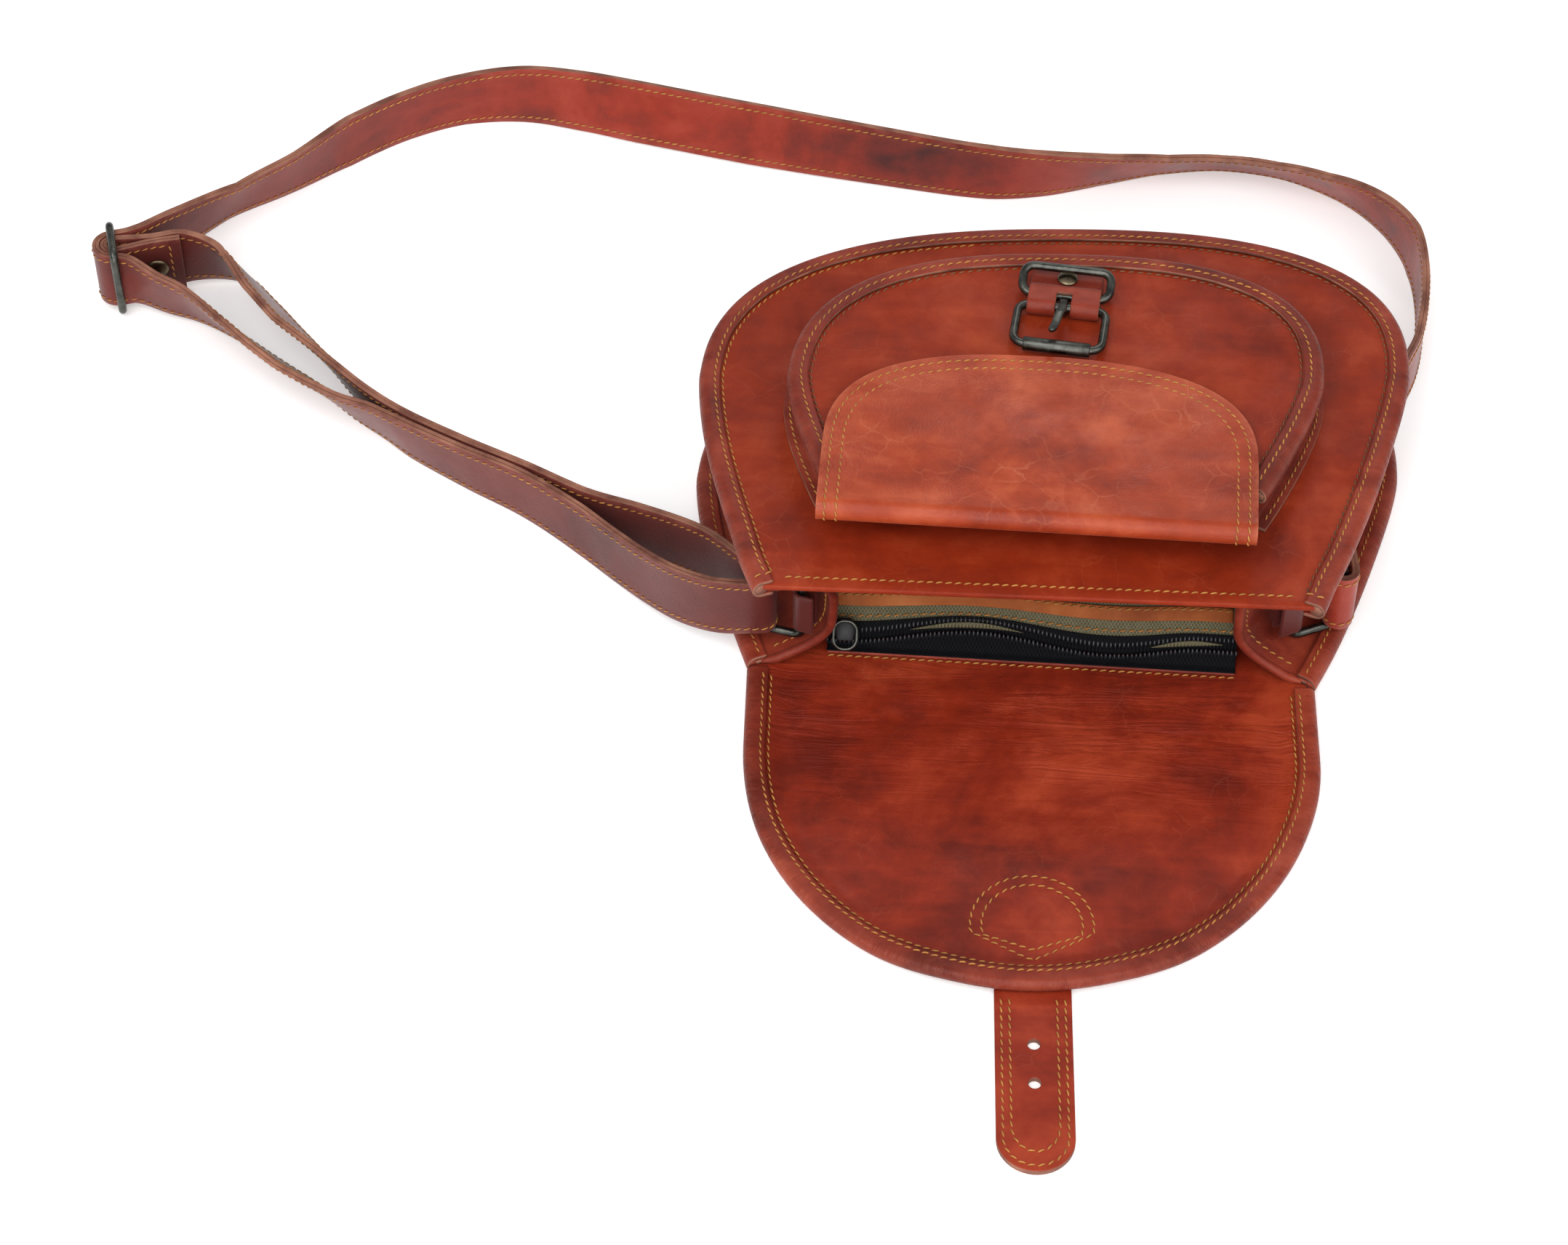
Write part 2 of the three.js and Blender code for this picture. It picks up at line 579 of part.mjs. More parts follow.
add("buckle_chape", buckleChape(), cognac, buckle);
add("buckle_frame", buckleFrame(), gunmetal, buckle);
add("buckle_roller", roller(), gunmetal, buckle).position.y = -BUCKLE.reach;
add("buckle_prong", prong(), gunmetal, buckle).rotation.x = -PRONG.lift;
const keeper = add("keeper_loop", keeperLoop(), gunmetal, buckle);
keeper.position.y = KEEPER.v;
keeper.rotation.x = KEEPER.tilt;
const chapeRivet = add("chape_rivet", rivetHead(RIVET.radius, RIVET.height), bronze, buckle);
chapeRivet.position.set(0, RIVET.v, CHAPE_TAIL + CHAPE.thick * 0.5 + GAP);

// Zip pocket: rows of the canvas wall from the zip up to its crown and down to the back panel
const WALL_ROWS = [
  { y: 16.5, z: 12.5, half: 77 },
  { y: 27, z: 24.5, half: 77 },
  { y: 36, z: 29.5, half: 78 },
  { y: 60, z: 30.5, half: 86 },
  { y: 95, z: 26, half: 92 },
  { y: 125, z: 15, half: 86 },
  { y: 140, z: 5.5, half: 80 },
  { y: 150, z: PANEL + GAP + CANVAS * 0.5, half: 74 },
];
const BACK_TAPE_ROWS = [
  { y: 9, z: PANEL + GAP + ZIP.tape * 0.5, half: ZIP.half },
  { y: 12.4, z: PANEL + GAP + ZIP.tape * 0.5, half: ZIP.half },
  { y: 14.8, z: 6.8, half: ZIP.half },
];
const FRONT_TAPE_ROWS = [
  { y: 14.4, z: 10.1, half: ZIP.half },
  { y: 17.9, z: 14.1, half: ZIP.half },
];
const FACING_ROWS = [
  { y: 21, z: 17.6, half: 74 },
  { y: 26.5, z: 23.9, half: 74 },
];
const above = (rows, rise) => rows.map(({ y, z, half }) => ({ y: y - 0.7 * rise, z: z + 0.7 * rise, half }));

add("inner_pocket_wall", crossSheet(WALL_ROWS, CANVAS, 4), canvasCloth);
add("zip_tape_back", crossSheet(BACK_TAPE_ROWS, ZIP.tape, 4), zipBlack);
const tapeRise = (CANVAS + ZIP.tape) * 0.5 + GAP;
add("zip_tape_front", crossSheet(above(FRONT_TAPE_ROWS, tapeRise), ZIP.tape, 4), zipBlack);
const facingRise = (CANVAS + FACING) * 0.5 + GAP;
add("facing_strip", crossSheet(above(FACING_ROWS, facingRise), FACING, 4), tanLeather);

const zipPull = new THREE.Group();
zipPull.position.set(ZIP_PULL.x, ZIP_PULL.y, ZIP_PULL.z);
zipPull.rotation.x = ZIP_PULL.tilt;
bag.add(zipPull);
const sliderShape = new THREE.Shape(ZIP_SLIDER_OUTLINE.map(([x, y]) => vec2(x, y)));
const sliderBody = new THREE.ExtrudeGeometry(sliderShape, { depth: ZIP_PULL.thick, bevelEnabled: false });
add("zip_slider", sliderBody, zipBlack, zipPull).position.z = GAP;
const ringShape = wireLoop(ZIP_RING.width, ZIP_RING.length, ZIP_RING.corner, ZIP_RING.wire);
add("zip_ring", ringShape, gunmetal, zipPull).position.set(0, ZIP_RING.y, ZIP_RING.z);

// Side rings: upright rectangles of wire, one side in the strap's loop and one in a tab on the gusset
function sideRing({ outer, inner, base, tab: tabLength }, suffix) {
  const ring = new THREE.Group();
  const turn = Math.atan2(inner[1] - outer[1], inner[0] - outer[0]);
  const reach = hypot(inner[0] - outer[0], inner[1] - outer[1]);
  ring.position.set(outer[0], outer[1], base + WIRE);
  ring.rotation.z = turn;
  bag.add(ring);
  const loop = roundedRectangle(reach, RING.height, RING.corner, 4);
  const points = loop.map(([x, z]) => vec3(x + reach * 0.5, 0, z + RING.height * 0.5));
  add("side_ring_" + suffix, wire(points, WIRE, 8, vec3(0, 1, 0), true), gunmetal, ring);
  const line = [[tabLength, -RING_TAB.radius]];
  for (let i = 0; i <= 8; i += 1) {
    const angle = -PI * 0.5 - (i / 8) * PI;
    line.push([RING_TAB.radius * cos(angle), RING_TAB.radius * sin(angle)]);
  }
  line.push([tabLength, RING_TAB.radius]);
  const section = wallSection(line, RING_TAB.wall);
  const ends = [0, RING_TAB.height].map((z) => section.map(([x, y]) => vec3(x, y, z)));
  add("ring_tab_" + suffix, loft(ends, fill(section)), cognac, ring).position.set(reach, 0, RING_TAB.rise);
}

sideRing(RING_LEFT, "left");
sideRing(RING_RIGHT, "right");

// Strap slider: an upright wire frame with a bar up its middle
const sliderAlong = vec2(cos(SLIDER.turn), sin(SLIDER.turn));
const sliderFront = vec2(sliderAlong.y, -sliderAlong.x);
const nearSlider = (along, front) => [
  SLIDER.x + sliderAlong.x * along + sliderFront.x * front,
  SLIDER.y + sliderAlong.y * along + sliderFront.y * front,
];

function strapSlider() {
  const frame = roundedRectangle(2 * SLIDER.half, SLIDER.height, 4, 4).map(([x, z]) => vec3(x, 0, z));
  const middle = new THREE.CylinderGeometry(WIRE, WIRE, SLIDER.height, 8).rotateX(PI * 0.5);
  return join(wire(frame, WIRE, 8, vec3(0, 1, 0), true), middle);
}

const slider = add("strap_slider", strapSlider(), gunmetal);
slider.position.set(SLIDER.x, SLIDER.y, SLIDER.low + SLIDER.height * 0.5);
slider.rotation.z = SLIDER.turn - PI * 0.5;
const strapRivet = add("strap_rivet", rivetHead(STRAP_RIVET.radius, STRAP_RIVET.height), bronze);
const rivetOut = STRAP.thick + GAP * 1.5;
const [rivetX, rivetY] = nearSlider(STRAP_RIVET.along, rivetOut + GAP);
strapRivet.position.set(rivetX, rivetY, SLIDER.low + SLIDER.height * 0.5);
strapRivet.quaternion.setFromUnitVectors(vec3(0, 0, 1), vec3(sliderFront.x, sliderFront.y, 0));

// Shoulder strap: rows of x, y at mid width, rise of the lower edge and lean to the right of its run, in degrees
const SLIDER_RISE = SLIDER.low + SLIDER.height * 0.5 - STRAP.width * 0.5;
const pairedHalf = (STRAP.thick + GAP) * 0.5;

function turnRound(x, y, radius, from, to, rise, steps) {
  return Array.from({ length: steps + 1 }, (_, i) => {
    const angle = mix(from, to, i / steps);
    return [x + radius * cos(angle), y + radius * sin(angle), rise, 0];
  });
}

const sliderTurn = (radius, steps) =>
  turnRound(SLIDER.x, SLIDER.y, radius, SLIDER.turn - PI * 0.5, SLIDER.turn - PI * 1.5, SLIDER_RISE, steps);
const bySlider = (along, front, lean = 0) => [...nearSlider(along, front), SLIDER_RISE, lean];
const LEFT_RISE = RING_LEFT.base + 2 * WIRE + GAP;
const RIGHT_RISE = RING_RIGHT.base + 2 * WIRE + GAP;

const BACK_RUN = [
  [-338, 202, 2, 24], [-323, 185.5, 1, 33], [-308.5, 168.5, 0, 34], [-294.5, 153.5, 0, 28],
  [-280.5, 137, 0, 20], [-266, 122, 0, 15], [-251.4, 110.6, 0, 12], [-226, 95.5, 0, 8], [-201, 82, 0, 3],
  [-178, 69, 0, 0], [-152.5, 57, 3.5, 0], [-127, 39, 11, 0], [-111, 21.5, LEFT_RISE, 0],
];
const FRONT_RUN = [
  [-109.5, 8.6, LEFT_RISE, 0], [-122, 11.5, 13, 0], [-136.5, 20.5, 8, 0], [-151, 34, 3, 0], [-165.5, 48, 0.5, 0],
  [-178.7, 60, 0, 0], [-203, 78.2, 0, -4], [-228, 91.8, 0, -9], [-253.6, 107, 0, -14], [-266.4, 116, 0, -20],
  [-279, 123.6, 0, -28], [-292, 133.7, 0, -35], [-305.4, 143.5, 0, -37], [-318, 156, 0, -33],
  [-334, 168, 0.5, -27], [-350.7, 179.2, 1.5, -17], [-364, 184.1, 2.5, -10],
];
const LONG_RUN = [
  [-366, 219.5, 2.5, 10], [-344, 244, 0, 24], [-321, 262.5, 0, 17], [-299, 284, 0, 5], [-276, 302, 0, 5],
  [-252, 314, 0, 3], [-226, 318.8, 0, -6], [-200, 315.7, 0, -14], [-174.6, 310, 0, -19], [-123, 298, 0, -19],
  [-72, 287.3, 0, -10], [-21, 278.6, 0, -2], [4, 279, 0, 10], [29, 283.5, 0, 25], [53.6, 289, 0, 36],
  [79.7, 292, 0, 40], [104.6, 288.2, 0, 39], [127, 278, 0, 31], [141, 267.4, 0, 20], [152, 254, 0, 9],
  [158.8, 238.5, 0, 0], [161, 217, 0, 0], [159.6, 195.5, 0.5, 0], [155, 170, 4, 0], [147.5, 148, 8.6, 0],
  [138.4, 122, 9.8, 0], [131.4, 96, 9.8, 0], [124.4, 70, RIGHT_RISE, 0], [118, 50, RIGHT_RISE, 0],
];

const STRAP_ROUTE = [
  bySlider(28, pairedHalf), bySlider(16, pairedHalf), bySlider(6, 2.9),
  ...sliderTurn(SLIDER.inner, 6),
  bySlider(6, -2.9), bySlider(16, -pairedHalf), bySlider(29, -pairedHalf),
  ...BACK_RUN,
  ...turnRound(...RING_LEFT.outer, LOOP, PI * 0.5, -PI * 0.5, LEFT_RISE, 6),
  ...FRONT_RUN,
  bySlider(6, SLIDER.outer + 1.4, -3),
  ...sliderTurn(SLIDER.outer, 7),
  bySlider(9, -SLIDER.outer - 1),
  ...LONG_RUN,
  ...turnRound(...RING_RIGHT.outer, LOOP, PI, 2 * PI, RIGHT_RISE, 6),
  [121.6, 42, RIGHT_RISE, 0], [122.2, 55, RIGHT_RISE, 0],
];

function shoulderStrap() {
  const curve = new THREE.CatmullRomCurve3(STRAP_ROUTE.map(([x, y, rise]) => vec3(x, y, rise)), false, "centripetal");
  const spans = STRAP_ROUTE.length - 1;
  const stepsPerSpan = 2;
  const count = spans * stepsPerSpan;
  const rings = [];
  for (let i = 0; i <= count; i += 1) {
    const place = i / stepsPerSpan;
    const row = Math.min(spans - 1, Math.floor(place));
    const lean = (mix(STRAP_ROUTE[row][3], STRAP_ROUTE[row + 1][3], place - row) * PI) / 180;
    const lower = curve.getPoint(i / count);
    lower.z = Math.max(0, lower.z);
    const along = curve.getTangent(i / count);
    const side = vec3().crossVectors(along, vec3(0, 0, 1)).normalize();
    const upright = vec3().crossVectors(side, along).normalize();
    const up = upright.multiplyScalar(cos(lean)).addScaledVector(side, sin(lean));
    const out = vec3().crossVectors(along, up).multiplyScalar(STRAP.thick * 0.5);
    const lift = STRAP.width * 0.5 * cos(lean) + STRAP.thick * 0.5 * Math.abs(sin(lean));
    const middle = lower.clone().add(vec3(0, 0, lift));
    const half = up.multiplyScalar(STRAP.width * 0.5);
    const corner = ([a, b]) => middle.clone().addScaledVector(out, a).addScaledVector(half, b);
    rings.push([[-1, -1], [1, -1], [1, 1], [-1, 1]].map(corner));
  }
  return loft(rings, [[0, 1, 2], [0, 2, 3]]);
}

add("shoulder_strap", shoulderStrap(), oxblood);

export default bag;
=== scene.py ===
"""Looks of an open leather saddle bag lying on its back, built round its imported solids.

Sizes in the classes are millimetres in the solids' frame; meshes are written in metres.
"""

import logging
import math
from dataclasses import dataclass, field
from enum import Enum
from typing import Callable

import bpy
import numpy as np
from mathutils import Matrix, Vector


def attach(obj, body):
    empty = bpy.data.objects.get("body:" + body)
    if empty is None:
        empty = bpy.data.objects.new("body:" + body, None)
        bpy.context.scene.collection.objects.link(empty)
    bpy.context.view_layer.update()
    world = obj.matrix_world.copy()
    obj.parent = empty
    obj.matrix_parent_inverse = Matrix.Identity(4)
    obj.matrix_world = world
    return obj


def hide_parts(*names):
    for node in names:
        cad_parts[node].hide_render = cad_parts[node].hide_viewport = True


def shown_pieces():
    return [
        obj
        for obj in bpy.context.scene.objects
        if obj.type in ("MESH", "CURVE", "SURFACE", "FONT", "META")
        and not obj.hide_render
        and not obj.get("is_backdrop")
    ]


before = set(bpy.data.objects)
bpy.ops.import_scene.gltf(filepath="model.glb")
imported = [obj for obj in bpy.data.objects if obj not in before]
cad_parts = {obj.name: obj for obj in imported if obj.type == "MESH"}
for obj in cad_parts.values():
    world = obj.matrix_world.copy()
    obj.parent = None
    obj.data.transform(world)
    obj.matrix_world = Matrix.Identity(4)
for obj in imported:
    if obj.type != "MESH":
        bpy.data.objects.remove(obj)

LOG = logging.getLogger("saddle_bag")
MM = 0.001
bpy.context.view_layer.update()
UP = (0.0, 0.0, 1.0)
PI = np.pi
Array = np.ndarray
Colour = tuple[float, float, float]
Pair = tuple[float, float]
Socket = bpy.types.NodeSocket
Material = bpy.types.Material
NodeTree = bpy.types.NodeTree
Object = bpy.types.Object


class Body(Enum):
    """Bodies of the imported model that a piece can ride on."""

    BAG = "bag"
    FRAME = "frame"
    ROLLER = "roller"
    PRONG = "prong"
    KEEPER = "keeper"


class Slot(Enum):
    """Material slots of the record."""

    COGNAC = "cognac_leather"
    DARK = "dark_leather"
    TAN = "tan_leather"
    CANVAS = "canvas"
    ZIP = "zip"
    ZIP_METAL = "zip_metal"
    GUNMETAL = "gunmetal"
    BRONZE = "bronze"


# Maths on whole arrays


def ease(low: float, high: float, value: Array) -> Array:
    """Smooth step: 0 at low, 1 at high, with level ends."""
    t = np.clip((np.asarray(value, float) - low) / (high - low), 0.0, 1.0)
    return t * t * (3.0 - 2.0 * t)


def unit(vectors: Array) -> Array:
    """Vectors divided by their lengths along the last axis."""
    return vectors / np.maximum(np.linalg.norm(vectors, axis=-1, keepdims=True), 1e-9)


def lengths_along(points: Array) -> Array:
    """Distance run along a line of points, from 0 at its start."""
    steps = np.linalg.norm(np.diff(points, axis=0), axis=1)
    return np.concatenate([[0.0], np.cumsum(steps)])


def resample(points: Array, count: int, looped: bool = False) -> Array:
    """Points at even distances along a line.

    Args:
        points: Line of shape (n, d).
        count: Points wanted.
        looped: True if the line closes on its start, which is then not repeated.

    Returns:
        Array of shape (count, d).
    """
    line = np.vstack([points, points[:1]]) if looped else points
    run = lengths_along(line)
    at = np.linspace(0.0, run[-1], count, endpoint=not looped)
    return np.stack([np.interp(at, run, line[:, k]) for k in range(line.shape[1])], axis=1)


def slopes(points: Array, looped: bool = False) -> Array:
    """Unit directions along a line, from central differences."""
    if looped:
        return unit(np.roll(points, -1, axis=0) - np.roll(points, 1, axis=0))
    return unit(np.gradient(points, axis=0))


def left_of(along: Array) -> Array:
    """Plane directions turned a quarter to the left."""
    return np.stack([-along[:, 1], along[:, 0]], axis=1)


def arc(radius: float, start: float, end: float, count: int, centre: Pair = (0.0, 0.0)) -> Array:
    """Points on a circle between two angles, both included."""
    angle = np.linspace(start, end, count)
    return np.stack([centre[0] + radius * np.cos(angle), centre[1] + radius * np.sin(angle)], axis=1)


def superellipse(half: float, reach: float, power: float, end: float, count: int) -> Array:
    """Rows of half * cos(a) ** (2 / power) and reach * sin(a) ** (2 / power) for angles from 0 to an end."""
    angle = np.linspace(0.0, end, count)
    return np.stack([half * np.abs(np.cos(angle)) ** (2.0 / power),
                     reach * np.sin(angle) ** (2.0 / power)], axis=1)


def ripple(x: Array, seed: float) -> Array:
    """Slow uneven wave between about -1 and 1, a sum of three sines of unrelated lengths."""
    waves = ((1.0, 1.0, 1.0), (0.6, 2.37, 1.7), (0.4, 4.11, 2.3))
    return sum(size * np.sin(x * pace + turn * seed) for size, pace, turn in waves) / 2.0


def smooth_line(points: Array, count: int) -> Array:
    """Centripetal Catmull-Rom curve through rows of points.

    Each span from row 1 to row 2 blends rows 0 to 3 with knots at the fourth root of the squared distances
    in the first three columns; the end rows are mirrored outwards.

    Args:
        points: Rows of shape (n, d); the first three columns set the knots.
        count: Samples in each span.

    Returns:
        Array of shape ((n - 1) * count + 1, d).
    """
    rows = np.vstack([2 * points[0] - points[1], points, 2 * points[-1] - points[-2]])
    gaps = np.maximum(np.sum(np.diff(rows[:, :3], axis=0) ** 2, axis=1) ** 0.25, 1e-4)
    d0, d1, d2 = gaps[:-2, None], gaps[1:-1, None], gaps[2:, None]
    p0, p1, p2, p3 = rows[:-3], rows[1:-2], rows[2:-1], rows[3:]
    m1 = ((p1 - p0) / d0 - (p2 - p0) / (d0 + d1) + (p2 - p1) / d1) * d1
    m2 = ((p2 - p1) / d1 - (p3 - p1) / (d1 + d2) + (p3 - p2) / d2) * d1
    t = (np.arange(count) / count)[None, :, None]
    a = (2 * p1 - 2 * p2 + m1 + m2)[:, None]
    b = (-3 * p1 + 3 * p2 - 2 * m1 - m2)[:, None]
    curve = a * t**3 + b * t**2 + m1[:, None] * t + p1[:, None]
    return np.vstack([curve.reshape(-1, points.shape[1]), points[-1:]])


def turned(points: Array, angle: float, place: Pair) -> Array:
    """Points turned about the origin in plan and moved; heights, where there are any, stay.

    Args:
        points: Array with a last axis of 2 or 3.
        angle: Turn in radians.
        place: Where the origin goes.

    Returns:
        Array of the same shape.
    """
    c, s = math.cos(angle), math.sin(angle)
    x, y = points[..., 0], points[..., 1]
    plan = np.stack([place[0] + x * c - y * s, place[1] + x * s + y * c], axis=-1)
    return np.concatenate([plan, points[..., 2:]], axis=-1)


def lifted(plan: Array, height: Array | float) -> Array:
    """Plan points at heights, one for each point or one for all."""
    return np.concatenate([plan, np.broadcast_to(height, plan.shape[:-1])[..., None]], axis=-1)


# Meshes from grids


def grid_faces(rows: int, columns: int, loop_rows: bool = False, loop_columns: bool = False) -> Array:
    """Quads of a grid of points numbered row by row, closed on itself along either side if asked.

    Args:
        rows: Rows of points.
        columns: Points in a row.
        loop_rows: True if the last row joins the first.
        loop_columns: True if each row closes on itself.

    Returns:
        Vertex numbers of shape (n, 4).
    """
    index = np.arange(rows * columns).reshape(rows, columns)
    if loop_rows:
        index = np.vstack([index, index[:1]])
    if loop_columns:
        index = np.hstack([index, index[:, :1]])
    corners = [index[:-1, :-1], index[:-1, 1:], index[1:, 1:], index[1:, :-1]]
    return np.stack(corners, axis=-1).reshape(-1, 4)


def tube_faces(rings: int, sides: int, count: int = 1) -> list:
    """Faces of like tubes with closed ends, numbered tube by tube and ring by ring.

    Args:
        rings: Rings in a tube.
        sides: Points in a ring.
        count: Tubes.

    Returns:
        Lists of vertex numbers.
    """
    size = rings * sides
    shift = (np.arange(count) * size)[:, None]
    walls = (grid_faces(rings, sides, loop_columns=True)[None] + shift[..., None]).reshape(-1, 4)
    starts = np.arange(sides)[::-1][None] + shift
    ends = np.arange(size - sides, size)[None] + shift
    return walls.tolist() + starts.tolist() + ends.tolist()


def place_piece(name: str, mesh: bpy.types.Mesh, finishes: list, node: str | None,
                body: Body) -> Object:
    """A dressed object at the origin that rides on a body and stands for a node, if one is named.

    Args:
        name: Piece name.
        mesh: Its mesh.
        finishes: Materials.
        node: Node that it stands for, or None.
        body: Body that carries it.

    Returns:
        The new object.
    """
    for finish in finishes:
        mesh.materials.append(finish)
    mesh.update()
    piece = bpy.data.objects.new(name, mesh)
    bpy.context.scene.collection.objects.link(piece)
    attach(piece, body.value)
    if node:
        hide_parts(node)
    return piece


def make_piece(name: str, points: Array, faces: list, finishes: list, node: str | None = None,
               body: Body = Body.BAG, rim: Array | None = None, run: Array | None = None) -> Object:
    """A smooth mesh made a piece.

    Args:
        name: Piece name.
        points: Vertices in millimetres, any grid shape with a last axis of 3.
        faces: Lists of vertex numbers.
        finishes: Materials, the first on every face.
        node: Node that the piece stands for.
        body: Body that carries the piece.
        rim: Closeness to an edge of each vertex, 0 to 1, kept as an attribute that finishes read.
        run: Distance along a bound edge, or depth of shade, of each vertex, kept as an attribute too.

    Returns:
        The new object.
    """
    flat = np.asarray(points, float).reshape(-1, 3) * MM
    mesh = bpy.data.meshes.new(name)
    mesh.from_pydata(flat.tolist(), [], faces)
    mesh.polygons.foreach_set("use_smooth", np.ones(len(mesh.polygons), bool))
    for label, given in (("rim", rim), ("run", run)):
        values = np.zeros(len(flat)) if given is None else np.asarray(given, float).ravel()
        mesh.attributes.new(label, "FLOAT", "POINT").data.foreach_set("value", values.astype(np.float32))
    return place_piece(name, mesh, finishes, node, body)


def thicken(piece: Object, wall: float, bevel: float) -> None:
    """Gives a middle surface its wall in millimetres, a rim in the second finish and softened corners.

    Args:
        piece: Object of the middle surface.
        wall: Thickness.
        bevel: Width of the softened corners, or 0.
    """
    wall_step = piece.modifiers.new("wall", "SOLIDIFY")
    wall_step.thickness = wall * MM
    wall_step.offset = 0.0
    wall_step.use_even_offset = True
    wall_step.material_offset_rim = 1 if len(piece.data.materials) > 1 else 0
    if bevel > 0.0:
        soft = piece.modifiers.new("soft_corners", "BEVEL")
        soft.width = bevel * MM
        soft.segments = 2
        soft.limit_method = "ANGLE"
        soft.angle_limit = math.radians(55)


def sheet_piece(name: str, grid: Array, wall: float, finishes: list, node: str | None = None,
                bevel: float = 0.0, rim: Array | None = None, run: Array | None = None) -> Object:
    """A wall of even thickness about a grid of middle points of shape (rows, columns, 3).

    Args:
        name: Piece name.
        grid: Middle points.
        wall: Thickness.
        finishes: Materials, the second for the rim.
        node: Node that it stands for.
        bevel: Width of the softened corners.
        rim: Closeness to an edge of each point.
        run: Distance along an edge, or depth of shade.

    Returns:
        The new object.
    """
    faces = grid_faces(*grid.shape[:2]).tolist()
    piece = make_piece(name, grid, faces, finishes, node, rim=rim, run=run)
    thicken(piece, wall, bevel)
    return piece


def disc_piece(name: str, grid: Array, wall: float, finishes: list, node: str, bevel: float) -> None:
    """A leather wall about rings of middle points, from its edge to a small closed middle.

    Args:
        name: Piece name.
        grid: Rings of shape (rings, points, 3).
        wall: Thickness.
        finishes: Materials.
        node: Node that it stands for.
        bevel: Width of the softened corners.
    """
    rows, columns = grid.shape[:2]
    faces = grid_faces(rows, columns, loop_columns=True).tolist()
    faces.append(list(range((rows - 1) * columns, rows * columns)))
    thicken(make_piece(name, grid, faces, finishes, node), wall, bevel)


def tube_points(path: Array, radius: float | Array, sides: int, looped: bool) -> Array:
    """Rings of points round a path.

    At each place the ring is radius * (cos a * side + sin a * lift), where side is square to the path and to
    the path's mean plane normal, and lift is square to both.

    Args:
        path: Centre points of shape (n, 3).
        radius: One radius or one for each point.
        sides: Points in each ring.
        looped: True if the path closes on itself.

    Returns:
        Array of shape (n, sides, 3).
    """
    along = slopes(path, looped)
    normal = np.linalg.svd(path - path.mean(axis=0), full_matrices=False)[2][2]
    side = unit(np.cross(along, normal))
    lift = np.cross(side, along)
    angle = (np.arange(sides) * 2 * PI / sides)[None, :, None]
    reach = np.broadcast_to(np.asarray(radius, float), (len(path),))[:, None, None]
    return path[:, None] + reach * (np.cos(angle) * side[:, None] + np.sin(angle) * lift[:, None])


def tube_piece(name: str, path: Array, radius: float | Array, finish: Material,
               node: str | None = None, sides: int = 14) -> None:
    """A round roll or bar along a path, with flat ends."""
    points = tube_points(path, radius, sides, looped=False)
    make_piece(name, points, tube_faces(len(path), sides), [finish], node)


def wire_piece(name: str, path: Array, radius: float, finish: Material, node: str,
               body: Body = Body.BAG, sides: int = 16) -> None:
    """A closed loop of dark metal wire along a path."""
    faces = grid_faces(len(path), sides, loop_rows=True, loop_columns=True).tolist()
    make_piece(name, tube_points(path, radius, sides, True), faces, [finish], node, body)


def lathe_piece(name: str, profile: tuple, place: Callable[[Array], Array], finish: Material,
                node: str, body: Body = Body.BAG, sides: int = 40) -> None:
    """A turned shape: rows of radius and height swept round an axis, then put in place.

    Args:
        name: Piece name.
        profile: Rows of radius and height; the first and last ring are closed with a face.
        place: Takes local points (..., 3), axis along z, to the object's frame.
        finish: Material.
        node: Node that the piece stands for.
        body: Body that carries it.
        sides: Steps round the axis.
    """
    angle = np.arange(sides) * 2 * PI / sides
    radius, height = np.array(profile, float).T[:, :, None]
    local = np.stack([radius * np.cos(angle), radius * np.sin(angle), height + 0 * angle], axis=-1)
    make_piece(name, place(local), tube_faces(len(profile), sides), [finish], node, body)


def rounded_loop(width: float, height: float, corner: float) -> Array:
    """Rounded rectangle about the origin as 96 rows of x and y, counter-clockwise.

    Args:
        width: Size along x.
        height: Size along y.
        corner: Corner radius.

    Returns:
        Array of shape (96, 2).
    """
    signs = np.array([[1, 1], [-1, 1], [-1, -1], [1, -1]])
    angle = np.linspace(0.0, PI / 2, 7)[None, :] + (np.arange(4) * PI / 2)[:, None]
    x = signs[:, :1] * (width / 2 - corner) + corner * np.cos(angle)
    y = signs[:, 1:] * (height / 2 - corner) + corner * np.sin(angle)
    return resample(np.stack([x.ravel(), y.ravel()], axis=1), 96, looped=True)


# Node trees


